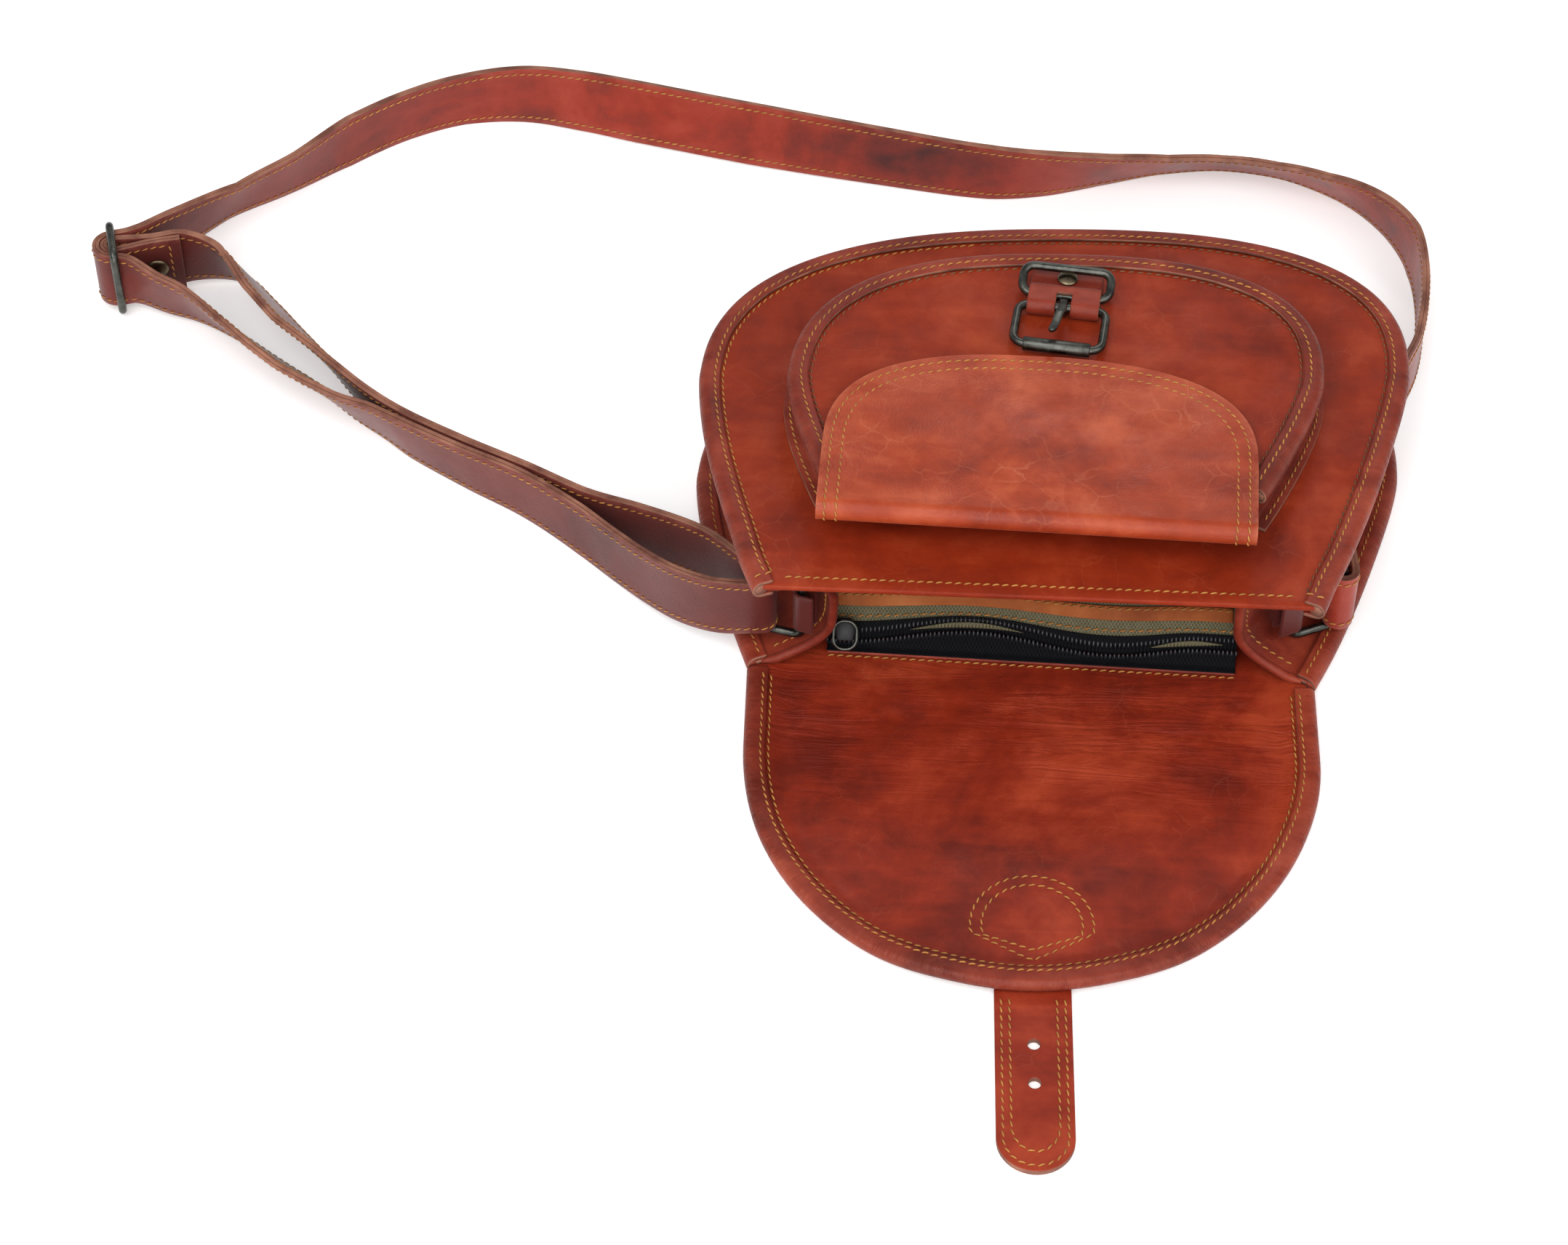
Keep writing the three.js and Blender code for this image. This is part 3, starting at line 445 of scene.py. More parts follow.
class Bench:
    """Adds nodes to a tree and wires them in short calls."""

    def __init__(self, tree: NodeTree) -> None:
        """Keeps the tree to work on."""
        self.tree = tree

    def add(self, kind: str, links: dict | None = None, values: dict | None = None,
            **settings: object) -> bpy.types.Node:
        """A new node.

        Args:
            kind: Node type name.
            links: Input number or name to the socket that feeds it.
            values: Input number or name to its value.
            settings: Attributes of the node.

        Returns:
            The node.
        """
        node = self.tree.nodes.new(kind)
        for key, value in settings.items():
            setattr(node, key, value)
        for key, value in (values or {}).items():
            node.inputs[key].default_value = value
        for key, socket in (links or {}).items():
            self.tree.links.new(socket, node.inputs[key])
        return node

    def noise(self, vector: Socket, scale: float, detail: float = 4.0, rough: float = 0.55,
              bend: float = 0.0) -> Socket:
        """Factor of a noise texture, 0 to 1."""
        values = {"Scale": scale, "Detail": detail, "Roughness": rough, "Distortion": bend}
        return self.add("ShaderNodeTexNoise", {"Vector": vector}, values).outputs[0]

    def span(self, value: Socket, low: float, high: float, to_low: float = 0.0,
             to_high: float = 1.0) -> Socket:
        """Value mapped from one range to another and held within it."""
        values = {1: low, 2: high, 3: to_low, 4: to_high}
        return self.add("ShaderNodeMapRange", {0: value}, values).outputs[0]

    def maths(self, operation: str, first: Socket, second: Socket | float = 0.0,
              clamp: bool = False) -> Socket:
        """Result of a Math node on a socket and a socket or number."""
        inputs = ({0: first}, {1: second}) if isinstance(second, float) else ({0: first, 1: second},)
        return self.add("ShaderNodeMath", *inputs, operation=operation, use_clamp=clamp).outputs[0]

    def times(self, first: Socket, second: Socket | float, clamp: bool = False) -> Socket:
        """Product of a socket and a socket or number."""
        return self.maths("MULTIPLY", first, second, clamp)

    def plus_share(self, total: Socket, part: Socket, share: float) -> Socket:
        """Total plus a share of a part."""
        node = self.add("ShaderNodeMath", {0: part, 2: total}, {1: share}, operation="MULTIPLY_ADD")
        return node.outputs[0]

    def blend(self, factor: Socket, first: Socket | Colour, second: Socket | Colour) -> Socket:
        """Colour mixed from two colours, each a socket or a triple.

        Args:
            factor: Share of the second colour.
            first: First colour.
            second: Second colour.

        Returns:
            Socket of the mixed colour.
        """
        node = self.add("ShaderNodeMix", {0: factor}, data_type="RGBA")
        for place, colour in ((6, first), (7, second)):
            if isinstance(colour, tuple):
                node.inputs[place].default_value = (*colour, 1.0)
            else:
                self.tree.links.new(colour, node.inputs[place])
        return node.outputs[2]

    def warped(self, vector: Socket, scale: float, detail: float, push: float) -> Socket:
        """Vector pushed about by a coloured noise.

        Args:
            vector: Place.
            scale: Scale of the noise.
            detail: Detail of the noise.
            push: Size of the push.

        Returns:
            Socket of the moved place.
        """
        values = {"Scale": scale, "Detail": detail}
        warp = self.add("ShaderNodeTexNoise", {"Vector": vector}, values).outputs[1]
        moved = self.add("ShaderNodeVectorMath", {0: warp}, {1: (push, push, push)}, operation="MULTIPLY")
        return self.add("ShaderNodeVectorMath", {0: vector, 1: moved.outputs[0]}, operation="ADD").outputs[0]

    def stretched(self, vector: Socket, scales: Colour) -> Socket:
        """Vector scaled by its own amount along each axis."""
        return self.add("ShaderNodeMapping", {0: vector}, {3: scales}).outputs[0]

    def effect(self, tree: NodeTree, vector: Socket, **values: float) -> Socket:
        """Output of a shared effect placed here with its own values."""
        return self.add("ShaderNodeGroup", {"Vector": vector}, values, node_tree=tree).outputs[0]

    def attribute(self, name: str) -> Socket:
        """Number kept on the piece's own vertices."""
        return self.add("ShaderNodeAttribute", attribute_name=name).outputs[2]

    def bump(self, height: Socket, strength: float, distance: float, under: Socket | None = None) -> Socket:
        """Normal of a relief, laid on another relief if one is given."""
        links = {"Height": height} if under is None else {"Height": height, "Normal": under}
        return self.add("ShaderNodeBump", links, {"Strength": strength, "Distance": distance}).outputs[0]


class EffectBench(Bench):
    """Bench of a new shared effect with a Vector input, number inputs and one number output."""

    def __init__(self, name: str, output: str, **inputs: float) -> None:
        """Makes the group and its sockets.

        Args:
            name: Group name.
            output: Name of its output.
            inputs: Number inputs with their defaults.
        """
        super().__init__(bpy.data.node_groups.new(name, "ShaderNodeTree"))
        sockets = self.tree.interface
        sockets.new_socket(name="Vector", in_out="INPUT", socket_type="NodeSocketVector")
        for label, value in inputs.items():
            socket = sockets.new_socket(name=label, in_out="INPUT", socket_type="NodeSocketFloat")
            socket.default_value = value
        sockets.new_socket(name=output, in_out="OUTPUT", socket_type="NodeSocketFloat")
        self.given = self.add("NodeGroupInput").outputs
        self.vector = self.given["Vector"]

    def finish(self, socket: Socket) -> NodeTree:
        """Feeds the output and hands over the group."""
        self.add("NodeGroupOutput", {0: socket})
        return self.tree


class CoatBench(Bench):
    """Bench of a new material with its shader and Object coordinates."""

    def __init__(self, name: str) -> None:
        """Makes the material.

        Args:
            name: Material name.
        """
        self.material = bpy.data.materials.new(name)
        self.material.use_nodes = True
        super().__init__(self.material.node_tree)
        self.shader = self.tree.nodes["Principled BSDF"]
        self.place = self.add("ShaderNodeTexCoord").outputs["Object"]

    def finish(self, links: dict, values: dict | None = None) -> Material:
        """Feeds the shader from sockets and values and hands over the material.

        Args:
            links: Shader input to the socket that feeds it.
            values: Shader input to its value.

        Returns:
            The material.
        """
        for key, socket in links.items():
            self.tree.links.new(socket, self.shader.inputs[key])
        for key, value in (values or {}).items():
            self.shader.inputs[key].default_value = value
        return self.material


# Shared effects


def mottle_group() -> NodeTree:
    """Cloudy tone of dyed hide: broad clouds, smaller blots and drawn-out streaks, 0 dark to 1 light.

    Returns:
        The group.
    """
    bench = EffectBench("hide_mottle", "Tone", Contrast=1.0)
    clouds = bench.noise(bench.vector, 16.0, 5.0, 0.6, 0.6)
    blots = bench.noise(bench.vector, 60.0, 4.0, 0.6, 0.3)
    streaks = bench.noise(bench.stretched(bench.vector, (14.0, 90.0, 60.0)), 1.0, 3.0, 0.5, 0.8)
    total = bench.plus_share(bench.plus_share(clouds, blots, 0.45), streaks, 0.3)
    tone = bench.times(bench.maths("SUBTRACT", total, 0.875), bench.given["Contrast"])
    return bench.finish(bench.maths("ADD", bench.times(tone, 2.2), 0.5, clamp=True))


def grain_group() -> NodeTree:
    """Relief of smooth hide: small pebbles between fine creases, with soft wrinkles under them.

    Returns:
        The group.
    """
    bench = EffectBench("hide_grain", "Height", Wrinkle=0.5)
    moved = bench.warped(bench.vector, 300.0, 2.0, 0.0012)
    cells = bench.add("ShaderNodeTexVoronoi", {"Vector": moved}, {"Scale": 1050.0}, feature="F1").outputs[0]
    pebbles = bench.span(cells, 0.0, 0.8, 1.0, 0.0)
    folds = bench.noise(bench.vector, 140.0, 5.0, 0.65, 1.2)
    return bench.finish(bench.plus_share(bench.times(folds, bench.given["Wrinkle"]), pebbles, 0.35))


def scuff_group() -> NodeTree:
    """Mask of pale hair-line creases: edges of bent cells, broken up by clouds.

    Returns:
        The group.
    """
    bench = EffectBench("hide_scuffs", "Mask", Amount=0.5)
    moved = bench.warped(bench.vector, 70.0, 4.0, 0.012)
    cells = bench.add("ShaderNodeTexVoronoi", {"Vector": moved}, {"Scale": 74.0}, feature="DISTANCE_TO_EDGE")
    lines = bench.span(cells.outputs[0], 0.0, 0.03, 1.0, 0.0)
    patches = bench.span(bench.noise(bench.vector, 38.0, 5.0), 0.46, 0.7)
    return bench.finish(bench.times(bench.times(lines, patches), bench.given["Amount"], clamp=True))


def crease_group() -> NodeTree:
    """Relief of fine creases along the flap's fold: drawn-out ridged noise, fading away from the fold line.

    Returns:
        The group.
    """
    bench = EffectBench("fold_creases", "Height")
    waves = bench.noise(bench.stretched(bench.vector, (16.0, 125.0, 60.0)), 1.0, 4.0, 0.55, 0.9)
    ridge = bench.span(bench.maths("ABSOLUTE", bench.maths("SUBTRACT", waves, 0.5)), 0.0, 0.16)
    along = bench.add("ShaderNodeSeparateXYZ", {0: bench.vector}).outputs[1]
    fade = bench.times(bench.span(along, -0.075, -0.035), bench.span(along, 0.02, 0.004))
    patches = bench.span(bench.noise(bench.vector, 26.0, 3.0), 0.36, 0.6)
    return bench.finish(bench.times(bench.times(ridge, fade), patches))


def weave_group() -> NodeTree:
    """Relief of plain-woven cloth: the product of two sine waves square to each other.

    Returns:
        The group.
    """
    bench = EffectBench("plain_weave", "Height", Threads=900.0)
    links = {0: bench.vector, 3: bench.given["Threads"]}
    scaled = bench.add("ShaderNodeVectorMath", links, operation="SCALE").outputs[0]
    split = bench.add("ShaderNodeSeparateXYZ", {0: scaled}).outputs
    warp, weft = (bench.maths("SINE", bench.times(split[axis], math.pi)) for axis in (0, 1))
    return bench.finish(bench.span(bench.times(warp, weft), -1.0, 1.0))


@dataclass(frozen=True)
class Groups:
    """The shared effects that finishes place in their materials."""

    mottle: NodeTree
    grain: NodeTree
    scuffs: NodeTree
    creases: NodeTree
    weave: NodeTree


# Finishes


@dataclass(frozen=True)
class HideFinish:
    """Dyed leather with clouds of tone, pebbled grain, pale creases and worn rims."""

    name: str
    dark: Colour
    middle: Colour
    light: Colour
    rim: Colour
    contrast: float = 1.0
    scuffs: float = 0.35
    wear: float = 0.5
    rough: Pair = (0.36, 0.58)
    grain: float = 0.22
    wrinkle: float = 0.5
    sheen: float = 0.02
    creases: float = 0.0
    pleats: float = 0.0
    # Depth of the painted shade that the run attribute asks for
    shade: float = 0.0
    gloss: float = 0.22

    def colour(self, bench: CoatBench, groups: Groups, edge: Socket) -> Socket:
        """Clouded tone with pale creases, darkened by painted shade from the run attribute and paler at worn
        rims.

        Args:
            bench: Bench of the material.
            groups: Shared effects.
            edge: Closeness to an edge.

        Returns:
            Socket of the base colour.
        """
        tone = bench.effect(groups.mottle, bench.place, Contrast=self.contrast)
        ramp = bench.add("ShaderNodeValToRGB", {0: tone})
        stops = ramp.color_ramp.elements
        stops[0].position = 0.08
        stops[1].position = 0.95
        stops.new(0.5)
        for stop, colour in zip(stops, (self.dark, self.middle, self.light)):
            stop.color = (*colour, 1.0)
        creases = bench.effect(groups.scuffs, bench.place, Amount=self.scuffs)
        colour = bench.blend(creases, ramp.outputs[0], self.rim)
        # Painted shade: the run attribute, times shade, darkens the colour towards the dark stop
        if self.shade:
            colour = bench.blend(bench.times(bench.attribute("run"), self.shade), colour, self.dark)
        rubbed = bench.span(bench.noise(bench.place, 120.0, 5.0, 0.65), 0.35, 0.72)
        worn = bench.times(bench.times(edge, rubbed), self.wear, clamp=True)
        return bench.blend(worn, colour, self.rim)

    def make(self, groups: Groups) -> Material:
        """Builds the material.

        Args:
            groups: Shared effects.

        Returns:
            The material.
        """
        bench = CoatBench(self.name)
        edge = bench.attribute("rim")
        rough = bench.span(bench.noise(bench.place, 45.0, 5.0, 0.6), 0.25, 0.75, *self.rough)
        grain = bench.effect(groups.grain, bench.place, Wrinkle=self.wrinkle)
        normal = bench.bump(grain, self.grain, 0.0006)
        if self.creases:
            lines = bench.effect(groups.creases, bench.place)
            normal = bench.bump(lines, 0.55 * self.creases, 0.0016, normal)
        if self.pleats:
            gathers = bench.add("ShaderNodeTexNoise", {"W": bench.attribute("run")},
                                {"Scale": 0.42, "Detail": 3.0}, noise_dimensions="1D").outputs[0]
            normal = bench.bump(bench.times(gathers, edge), 0.6 * self.pleats, 0.0012, normal)
        links = {"Base Color": self.colour(bench, groups, edge), "Roughness": rough, "Normal": normal}
        return bench.finish(links, {"Specular IOR Level": self.gloss, "Sheen Weight": self.sheen})


@dataclass(frozen=True)
class EdgeFinish:
    """Raw cut edge of leather: pale fibre in patches."""

    name: str
    pale: Colour
    deep: Colour

    def make(self) -> Material:
        """Builds the material from fine and broad noise.

        Returns:
            The material.
        """
        bench = CoatBench(self.name)
        fibre = bench.noise(bench.place, 700.0, 3.0, 0.7)
        patch = bench.span(bench.noise(bench.place, 70.0), 0.35, 0.65)
        return bench.finish({"Base Color": bench.blend(patch, self.deep, self.pale),
                             "Roughness": bench.span(fibre, 0.2, 0.8, 0.6, 0.9),
                             "Normal": bench.bump(fibre, 0.4, 0.0004)})


@dataclass(frozen=True)
class ClothFinish:
    """Plain-woven cloth with a soft fuzz."""

    name: str
    shade: Colour
    bright: Colour
    threads: float
    relief: float = 0.5

    def make(self, groups: Groups) -> Material:
        """Builds the material.

        Args:
            groups: Shared effects.

        Returns:
            The material.
        """
        bench = CoatBench(self.name)
        weave = bench.effect(groups.weave, bench.place, Threads=self.threads)
        fuzz = bench.noise(bench.place, 260.0, 4.0, 0.7)
        level = bench.span(bench.plus_share(bench.times(weave, 0.6), fuzz, 0.5), 0.25, 0.85)
        links = {"Base Color": bench.blend(level, self.shade, self.bright),
                 "Roughness": bench.span(fuzz, 0.2, 0.8, 0.75, 0.95),
                 "Normal": bench.bump(weave, self.relief, 0.0004)}
        return bench.finish(links, {"Specular IOR Level": 0.08})


@dataclass(frozen=True)
class MetalFinish:
    """Plated metal, darker in patches, brighter where it is rubbed."""

    name: str
    base: Colour
    rubbed: Colour
    rough: Pair = (0.26, 0.46)
    metallic: float = 1.0

    def make(self) -> Material:
        """Builds the material from two noises.

        Returns:
            The material.
        """
        bench = CoatBench(self.name)
        patch = bench.noise(bench.place, 210.0, 5.0, 0.65, 0.4)
        fine = bench.noise(bench.place, 900.0, 3.0, 0.6)
        mask = bench.span(bench.plus_share(patch, fine, 0.3), 0.5, 0.85)
        links = {"Base Color": bench.blend(mask, self.base, self.rubbed),
                 "Roughness": bench.span(patch, 0.3, 0.7, *self.rough),
                 "Normal": bench.bump(fine, 0.06, 0.0003)}
        return bench.finish(links, {"Metallic": self.metallic})


@dataclass(frozen=True)
class ThreadFinish:
    """Waxed twisted thread."""

    name: str
    shade: Colour
    bright: Colour

    def make(self) -> Material:
        """Builds the material from fine noise.

        Returns:
            The material.
        """
        bench = CoatBench(self.name)
        twist = bench.noise(bench.place, 1600.0, 3.0, 0.6)
        patch = bench.noise(bench.place, 90.0, 3.0)
        level = bench.span(bench.plus_share(bench.times(twist, 0.55), patch, 0.5), 0.35, 0.7)
        links = {"Base Color": bench.blend(level, self.shade, self.bright),
                 "Normal": bench.bump(twist, 0.5, 0.0003)}
        return bench.finish(links, {"Roughness": 0.62})


class Palette:
    """Every finish of the bag, built once."""

    def __init__(self) -> None:
        """Builds the shared effects, then the materials."""
        groups = Groups(mottle_group(), grain_group(), scuff_group(), crease_group(), weave_group())
        rim = (0.46, 0.13, 0.06)
        self.cognac = HideFinish(
            "cognac_hide", (0.17, 0.015, 0.003), (0.29, 0.033, 0.007), (0.44, 0.08, 0.026), rim,
            contrast=0.85, scuffs=0.46, wear=0.9, rough=(0.3, 0.52), gloss=0.26).make(groups)
        self.panel = HideFinish(
            "panel_hide", (0.12, 0.009, 0.002), (0.225, 0.02, 0.004), (0.34, 0.048, 0.014), rim,
            contrast=0.66, scuffs=0.13, rough=(0.38, 0.6), gloss=0.15).make(groups)
        self.flap = HideFinish(
            "flap_hide", (0.115, 0.008, 0.002), (0.205, 0.016, 0.004), (0.31, 0.036, 0.011), rim,
            scuffs=0.1, rough=(0.4, 0.6), creases=0.55).make(groups)
        self.binding = HideFinish(
            "bound_hide", (0.095, 0.009, 0.004), (0.175, 0.019, 0.008), (0.28, 0.043, 0.02),
            (0.36, 0.09, 0.05), wear=0.35, scuffs=0.15, wrinkle=0.8, pleats=1.0).make(groups)
        self.strap = HideFinish(
            "strap_hide", (0.055, 0.011, 0.01), (0.245, 0.023, 0.01), (0.36, 0.05, 0.028),
            (0.36, 0.10, 0.07), contrast=0.6, scuffs=0.1, rough=(0.28, 0.5), shade=0.85,
            sheen=0.06).make(groups)
        self.gusset = HideFinish(
            "gusset_hide", (0.07, 0.006, 0.003), (0.175, 0.019, 0.008), (0.28, 0.042, 0.018), rim,
            scuffs=0.15, wrinkle=0.9, grain=0.3).make(groups)
        self.tan = HideFinish(
            "facing_hide", (0.21, 0.045, 0.009), (0.34, 0.088, 0.018), (0.46, 0.15, 0.04),
            (0.62, 0.34, 0.18), scuffs=0.06, gloss=0.1).make(groups)
        self.raw = EdgeFinish("raw_edge", (0.3, 0.125, 0.075), (0.12, 0.036, 0.02)).make()
        self.canvas = ClothFinish(
            "olive_canvas", (0.06, 0.054, 0.03), (0.185, 0.165, 0.1), 1500.0).make(groups)
        self.tape = ClothFinish(
            "zip_tape", (0.0015, 0.0016, 0.002), (0.008, 0.0085, 0.011), 1400.0).make(groups)
        self.coil = MetalFinish(
            "zip_coil", (0.012, 0.012, 0.015), (0.035, 0.036, 0.043), (0.22, 0.36), 0.0).make()
        self.shell = MetalFinish(
            "zip_shell", (0.004, 0.004, 0.005), (0.012, 0.012, 0.015), (0.5, 0.65), 0.0).make()
        self.gunmetal = MetalFinish("gunmetal", (0.05, 0.052, 0.047), (0.125, 0.125, 0.11)).make()
        self.bronze = MetalFinish("aged_bronze", (0.10, 0.075, 0.045), (0.24, 0.19, 0.12)).make()
        self.thread = ThreadFinish("gold_thread", (0.23, 0.08, 0.012), (0.5, 0.22, 0.042)).make()
        self.dark_thread = ThreadFinish("dark_thread", (0.10, 0.03, 0.012), (0.22, 0.08, 0.03)).make()


# Stitches and teeth

LENS_SIDES = 6
# Rows of place along the lens, share of its full girth, and rise out of the surface
STITCH_SHAPE = np.array([[-1.0, 0.35, -0.55], [-0.62, 0.85, 0.1], [0.0, 1.0, 0.35], [0.62, 0.85, 0.1],
                         [1.0, 0.35, -0.55]])
TOOTH_SHAPE = np.array([[-1.0, 0.55, 0.0], [-0.5, 1.0, 0.0], [0.5, 1.0, 0.0], [1.0, 0.55, 0.0]])


def lenses(centre: Array, axes: tuple, sizes: tuple, shape: Array, slant: float = 0.0) -> Array:
    """Small six-sided lenses, each a row of rings whose girth and height follow a shape.

    Args:
        centre: Middles of shape (n, 3).
        axes: Unit directions along, across and up, each of shape (n, 3).
        sizes: Half-length, half-width and height.
        shape: Rows of place, swell and rise.
        slant: Sideways run from the middle to an end.

    Returns:
        Array of shape (n, rings, sides, 3).
    """
    place, swell, rise = shape.T[:, :, None]
    angle = np.arange(LENS_SIDES) * 2 * PI / LENS_SIDES
    parts = (sizes[0] * place + 0 * angle, sizes[1] * swell * np.cos(angle) + slant * place,
             sizes[2] * (swell * np.sin(angle) + rise))
    offsets = [part[None, ..., None] * axis[:, None, None] for part, axis in zip(parts, axes)]
    return centre[:, None, None] + sum(offsets)


def lens_piece(name: str, points: Array, finish: Material) -> None:
    """All lenses of a kind as one piece."""
    count, rings = points.shape[:2]
    make_piece(name, points, tube_faces(rings, LENS_SIDES, count), [finish])


@dataclass
class Stitching:
    """Rows of short thread lenses laid on surfaces, gathered into one piece."""

    name: str
    finish: Material
    pitch: float = 3.5
    length: float = 2.7
    width: float = 0.78
    height: float = 0.38
    slant: float = 0.324
    rows: list[Array] = field(default_factory=list)

    def add(self, path: Array, normal: Array | tuple = UP) -> None:
        """Lays a row along a path.

        Args:
            path: Points on the surface, shape (n, 3).
            normal: Outward direction, one for the row or one for each point.
        """
        count = max(2, int(lengths_along(path)[-1] / self.pitch))
        facing = np.broadcast_to(np.asarray(normal, float), path.shape)
        both = resample(np.hstack([path, facing]), 2 * count + 1)
        along = unit(both[2::2, :3] - both[:-2:2, :3])
        up = both[1::2, 3:]
        up = unit(up - along * np.sum(up * along, axis=1, keepdims=True))
        sizes = (self.length / 2, self.width / 2, self.height)
        axes = (along, np.cross(up, along), up)
        self.rows.append(lenses(both[1::2, :3], axes, sizes, STITCH_SHAPE, self.slant))

    def make(self) -> None:
        """Builds the piece from all rows."""
        lens_piece(self.name, np.concatenate(self.rows), self.finish)


# Shape of the bag in plan

BODY_BOW = 0.052
FLAP_BOW = 0.022
LIE_SKEW = 0.045
ON_TOP = 0.1
RUBBED_REACH = 3.4
CORE_SINK = 0.6
ENDS = (("right", slice(0, 5)), ("left", slice(-5, None)))


@dataclass(frozen=True)
class Outline:
    """U-shaped outline of a panel: sides that swell to the widest place, then a full round bottom."""

    mouth_y: float
    mouth_half: float
    wide_y: float
    wide_half: float
    bottom_y: float
    side_power: float = 1.4
    bottom_power: float = 2.5

    def edge(self, count: int) -> Array:
        """Edge points from the right mouth corner round the bottom to the left one.

        Side: half-width = wide - (wide - mouth) * share ** side_power. Bottom: a superellipse.

        Args:
            count: Points along the edge.

        Returns:
            Array of shape (count, 2).
        """
        y = np.linspace(self.mouth_y, self.wide_y, 160)[:-1]
        share = ((self.wide_y - y) / (self.wide_y - self.mouth_y)) ** self.side_power
        side = np.stack([self.wide_half - (self.wide_half - self.mouth_half) * share, y], axis=1)
        deep = self.bottom_y - self.wide_y
        bottom = superellipse(self.wide_half, deep, self.bottom_power, PI / 2, 400) + [0.0, self.wide_y]
        half = np.vstack([side, bottom])
        left = half[::-1][1:] * [-1.0, 1.0]
        return resample(settled(np.vstack([half, left])), count)


def settled(points: Array) -> Array:
    """Plan points of the relaxed bag: both ends shift to the right and turn a little.

    Args:
        points: Plan points of the straight bag.

    Returns:
        Array of the same shape.
    """
    x, y = points[..., 0], points[..., 1]
    away = np.abs(y)
    bow = np.where(y > 0, BODY_BOW, FLAP_BOW)
    return np.stack([x + bow * away, y + LIE_SKEW * x * ease(10.0, 80.0, away)], axis=-1)


def inward(edge: Array, looped: bool = False) -> Array:
    """Unit directions to the left of an edge's run, which is inside for counter-clockwise edges."""
    return left_of(slopes(edge, looped))


def binding_line(low: float, high: float, low_reach: float, high_reach: float, wall: float) -> Array:
    """Middle line of a strip folded over an edge: a half circle between two leaves, as [inset, height].

    Args:
        low: Height of the strip's under face.
        high: Height of its upper face.
        low_reach: Inset where the lower leaf ends.
        high_reach: Inset where the upper leaf ends.
        wall: Thickness of the strip.

    Returns:
        Array of shape (20, 2).
    """
    radius = (high - low - wall) / 2
    middle = (high + low) / 2
    fold = arc(radius, PI / 2, 3 * PI / 2, 11, (wall / 2 + radius, 0.0)) * [1.0, -1.0] + [0.0, middle]
    lower = np.linspace([low_reach, middle - radius], fold[0], 5)[:-1]
    upper = np.linspace(fold[-1], [high_reach, middle + radius], 6)[1:]
    return np.vstack([lower, fold, upper])


def carry(edge: Array, line: Array, raised: Callable[[Array], Array] | None = None) -> Array:
    """Grid of a section line of [inset, height] carried along an edge, optionally raised by plan place."""
    plan = edge[:, None] + inward(edge)[:, None] * line[None, :, :1]
    return lifted(plan, line[None, :, 1] + (0.0 if raised is None else raised(plan)))


def edge_row(edge: Array, inset: float, height: float,
             raised: Callable[[Array], Array] | None = None) -> Array:
    """Row of points at one inset and height along an edge."""
    return carry(edge, np.array([[inset, height]]), raised)[:, 0]


def closed_edge(edge: Array, inset: float, count: int) -> Array:
    """An open edge drawn in and closed by a straight line of points across its mouth."""
    inner = edge + inward(edge) * inset
    return np.vstack([inner, np.linspace(inner[-1], inner[0], count)[1:-1]])


def radial_grid(edge: Array, insets: list[float], shares: Array, centre: Pair) -> tuple[Array, Array]:
    """Rings of plan points from a closed edge to a middle.

    Args:
        edge: Closed counter-clockwise edge, shape (n, 2).
        insets: Distances of the outer rings from the edge.
        shares: Sizes of the inner rings as a share of the last inset ring.
        centre: Middle that the inner rings shrink to.

    Returns:
        Plan points of shape (rings, n, 2) and the depth of each ring, with inner rings far inside.
    """
    outer = edge[None] + inward(edge, looped=True)[None] * np.array(insets)[:, None, None]
    inner = np.array(centre) + (outer[-1] - np.array(centre))[None] * shares[:, None, None]
    return np.vstack([outer, inner]), np.concatenate([insets, np.full(len(shares), 999.0)])


def binding_piece(node: str, grid: Array, edge: Array, line: Array, wall: float, paint: Palette) -> None:
    """Folded strip of a bound edge, rubbed along its fold and gathered along its run.

    Args:
        node: Node that it stands for.
        grid: Middle points of the strip.
        edge: Edge that it binds.
        line: Section as [inset, height].
        wall: Thickness.
        paint: Finishes.
    """
    rim = np.exp(-((line[:, 0] / RUBBED_REACH) ** 2))[None] + 0 * grid[..., 0]
    run = lengths_along(edge)[:, None] + 0 * grid[..., 0]
    sheet_piece(node + "_hide", grid, wall, [paint.binding, paint.raw], node, rim=rim, run=run)


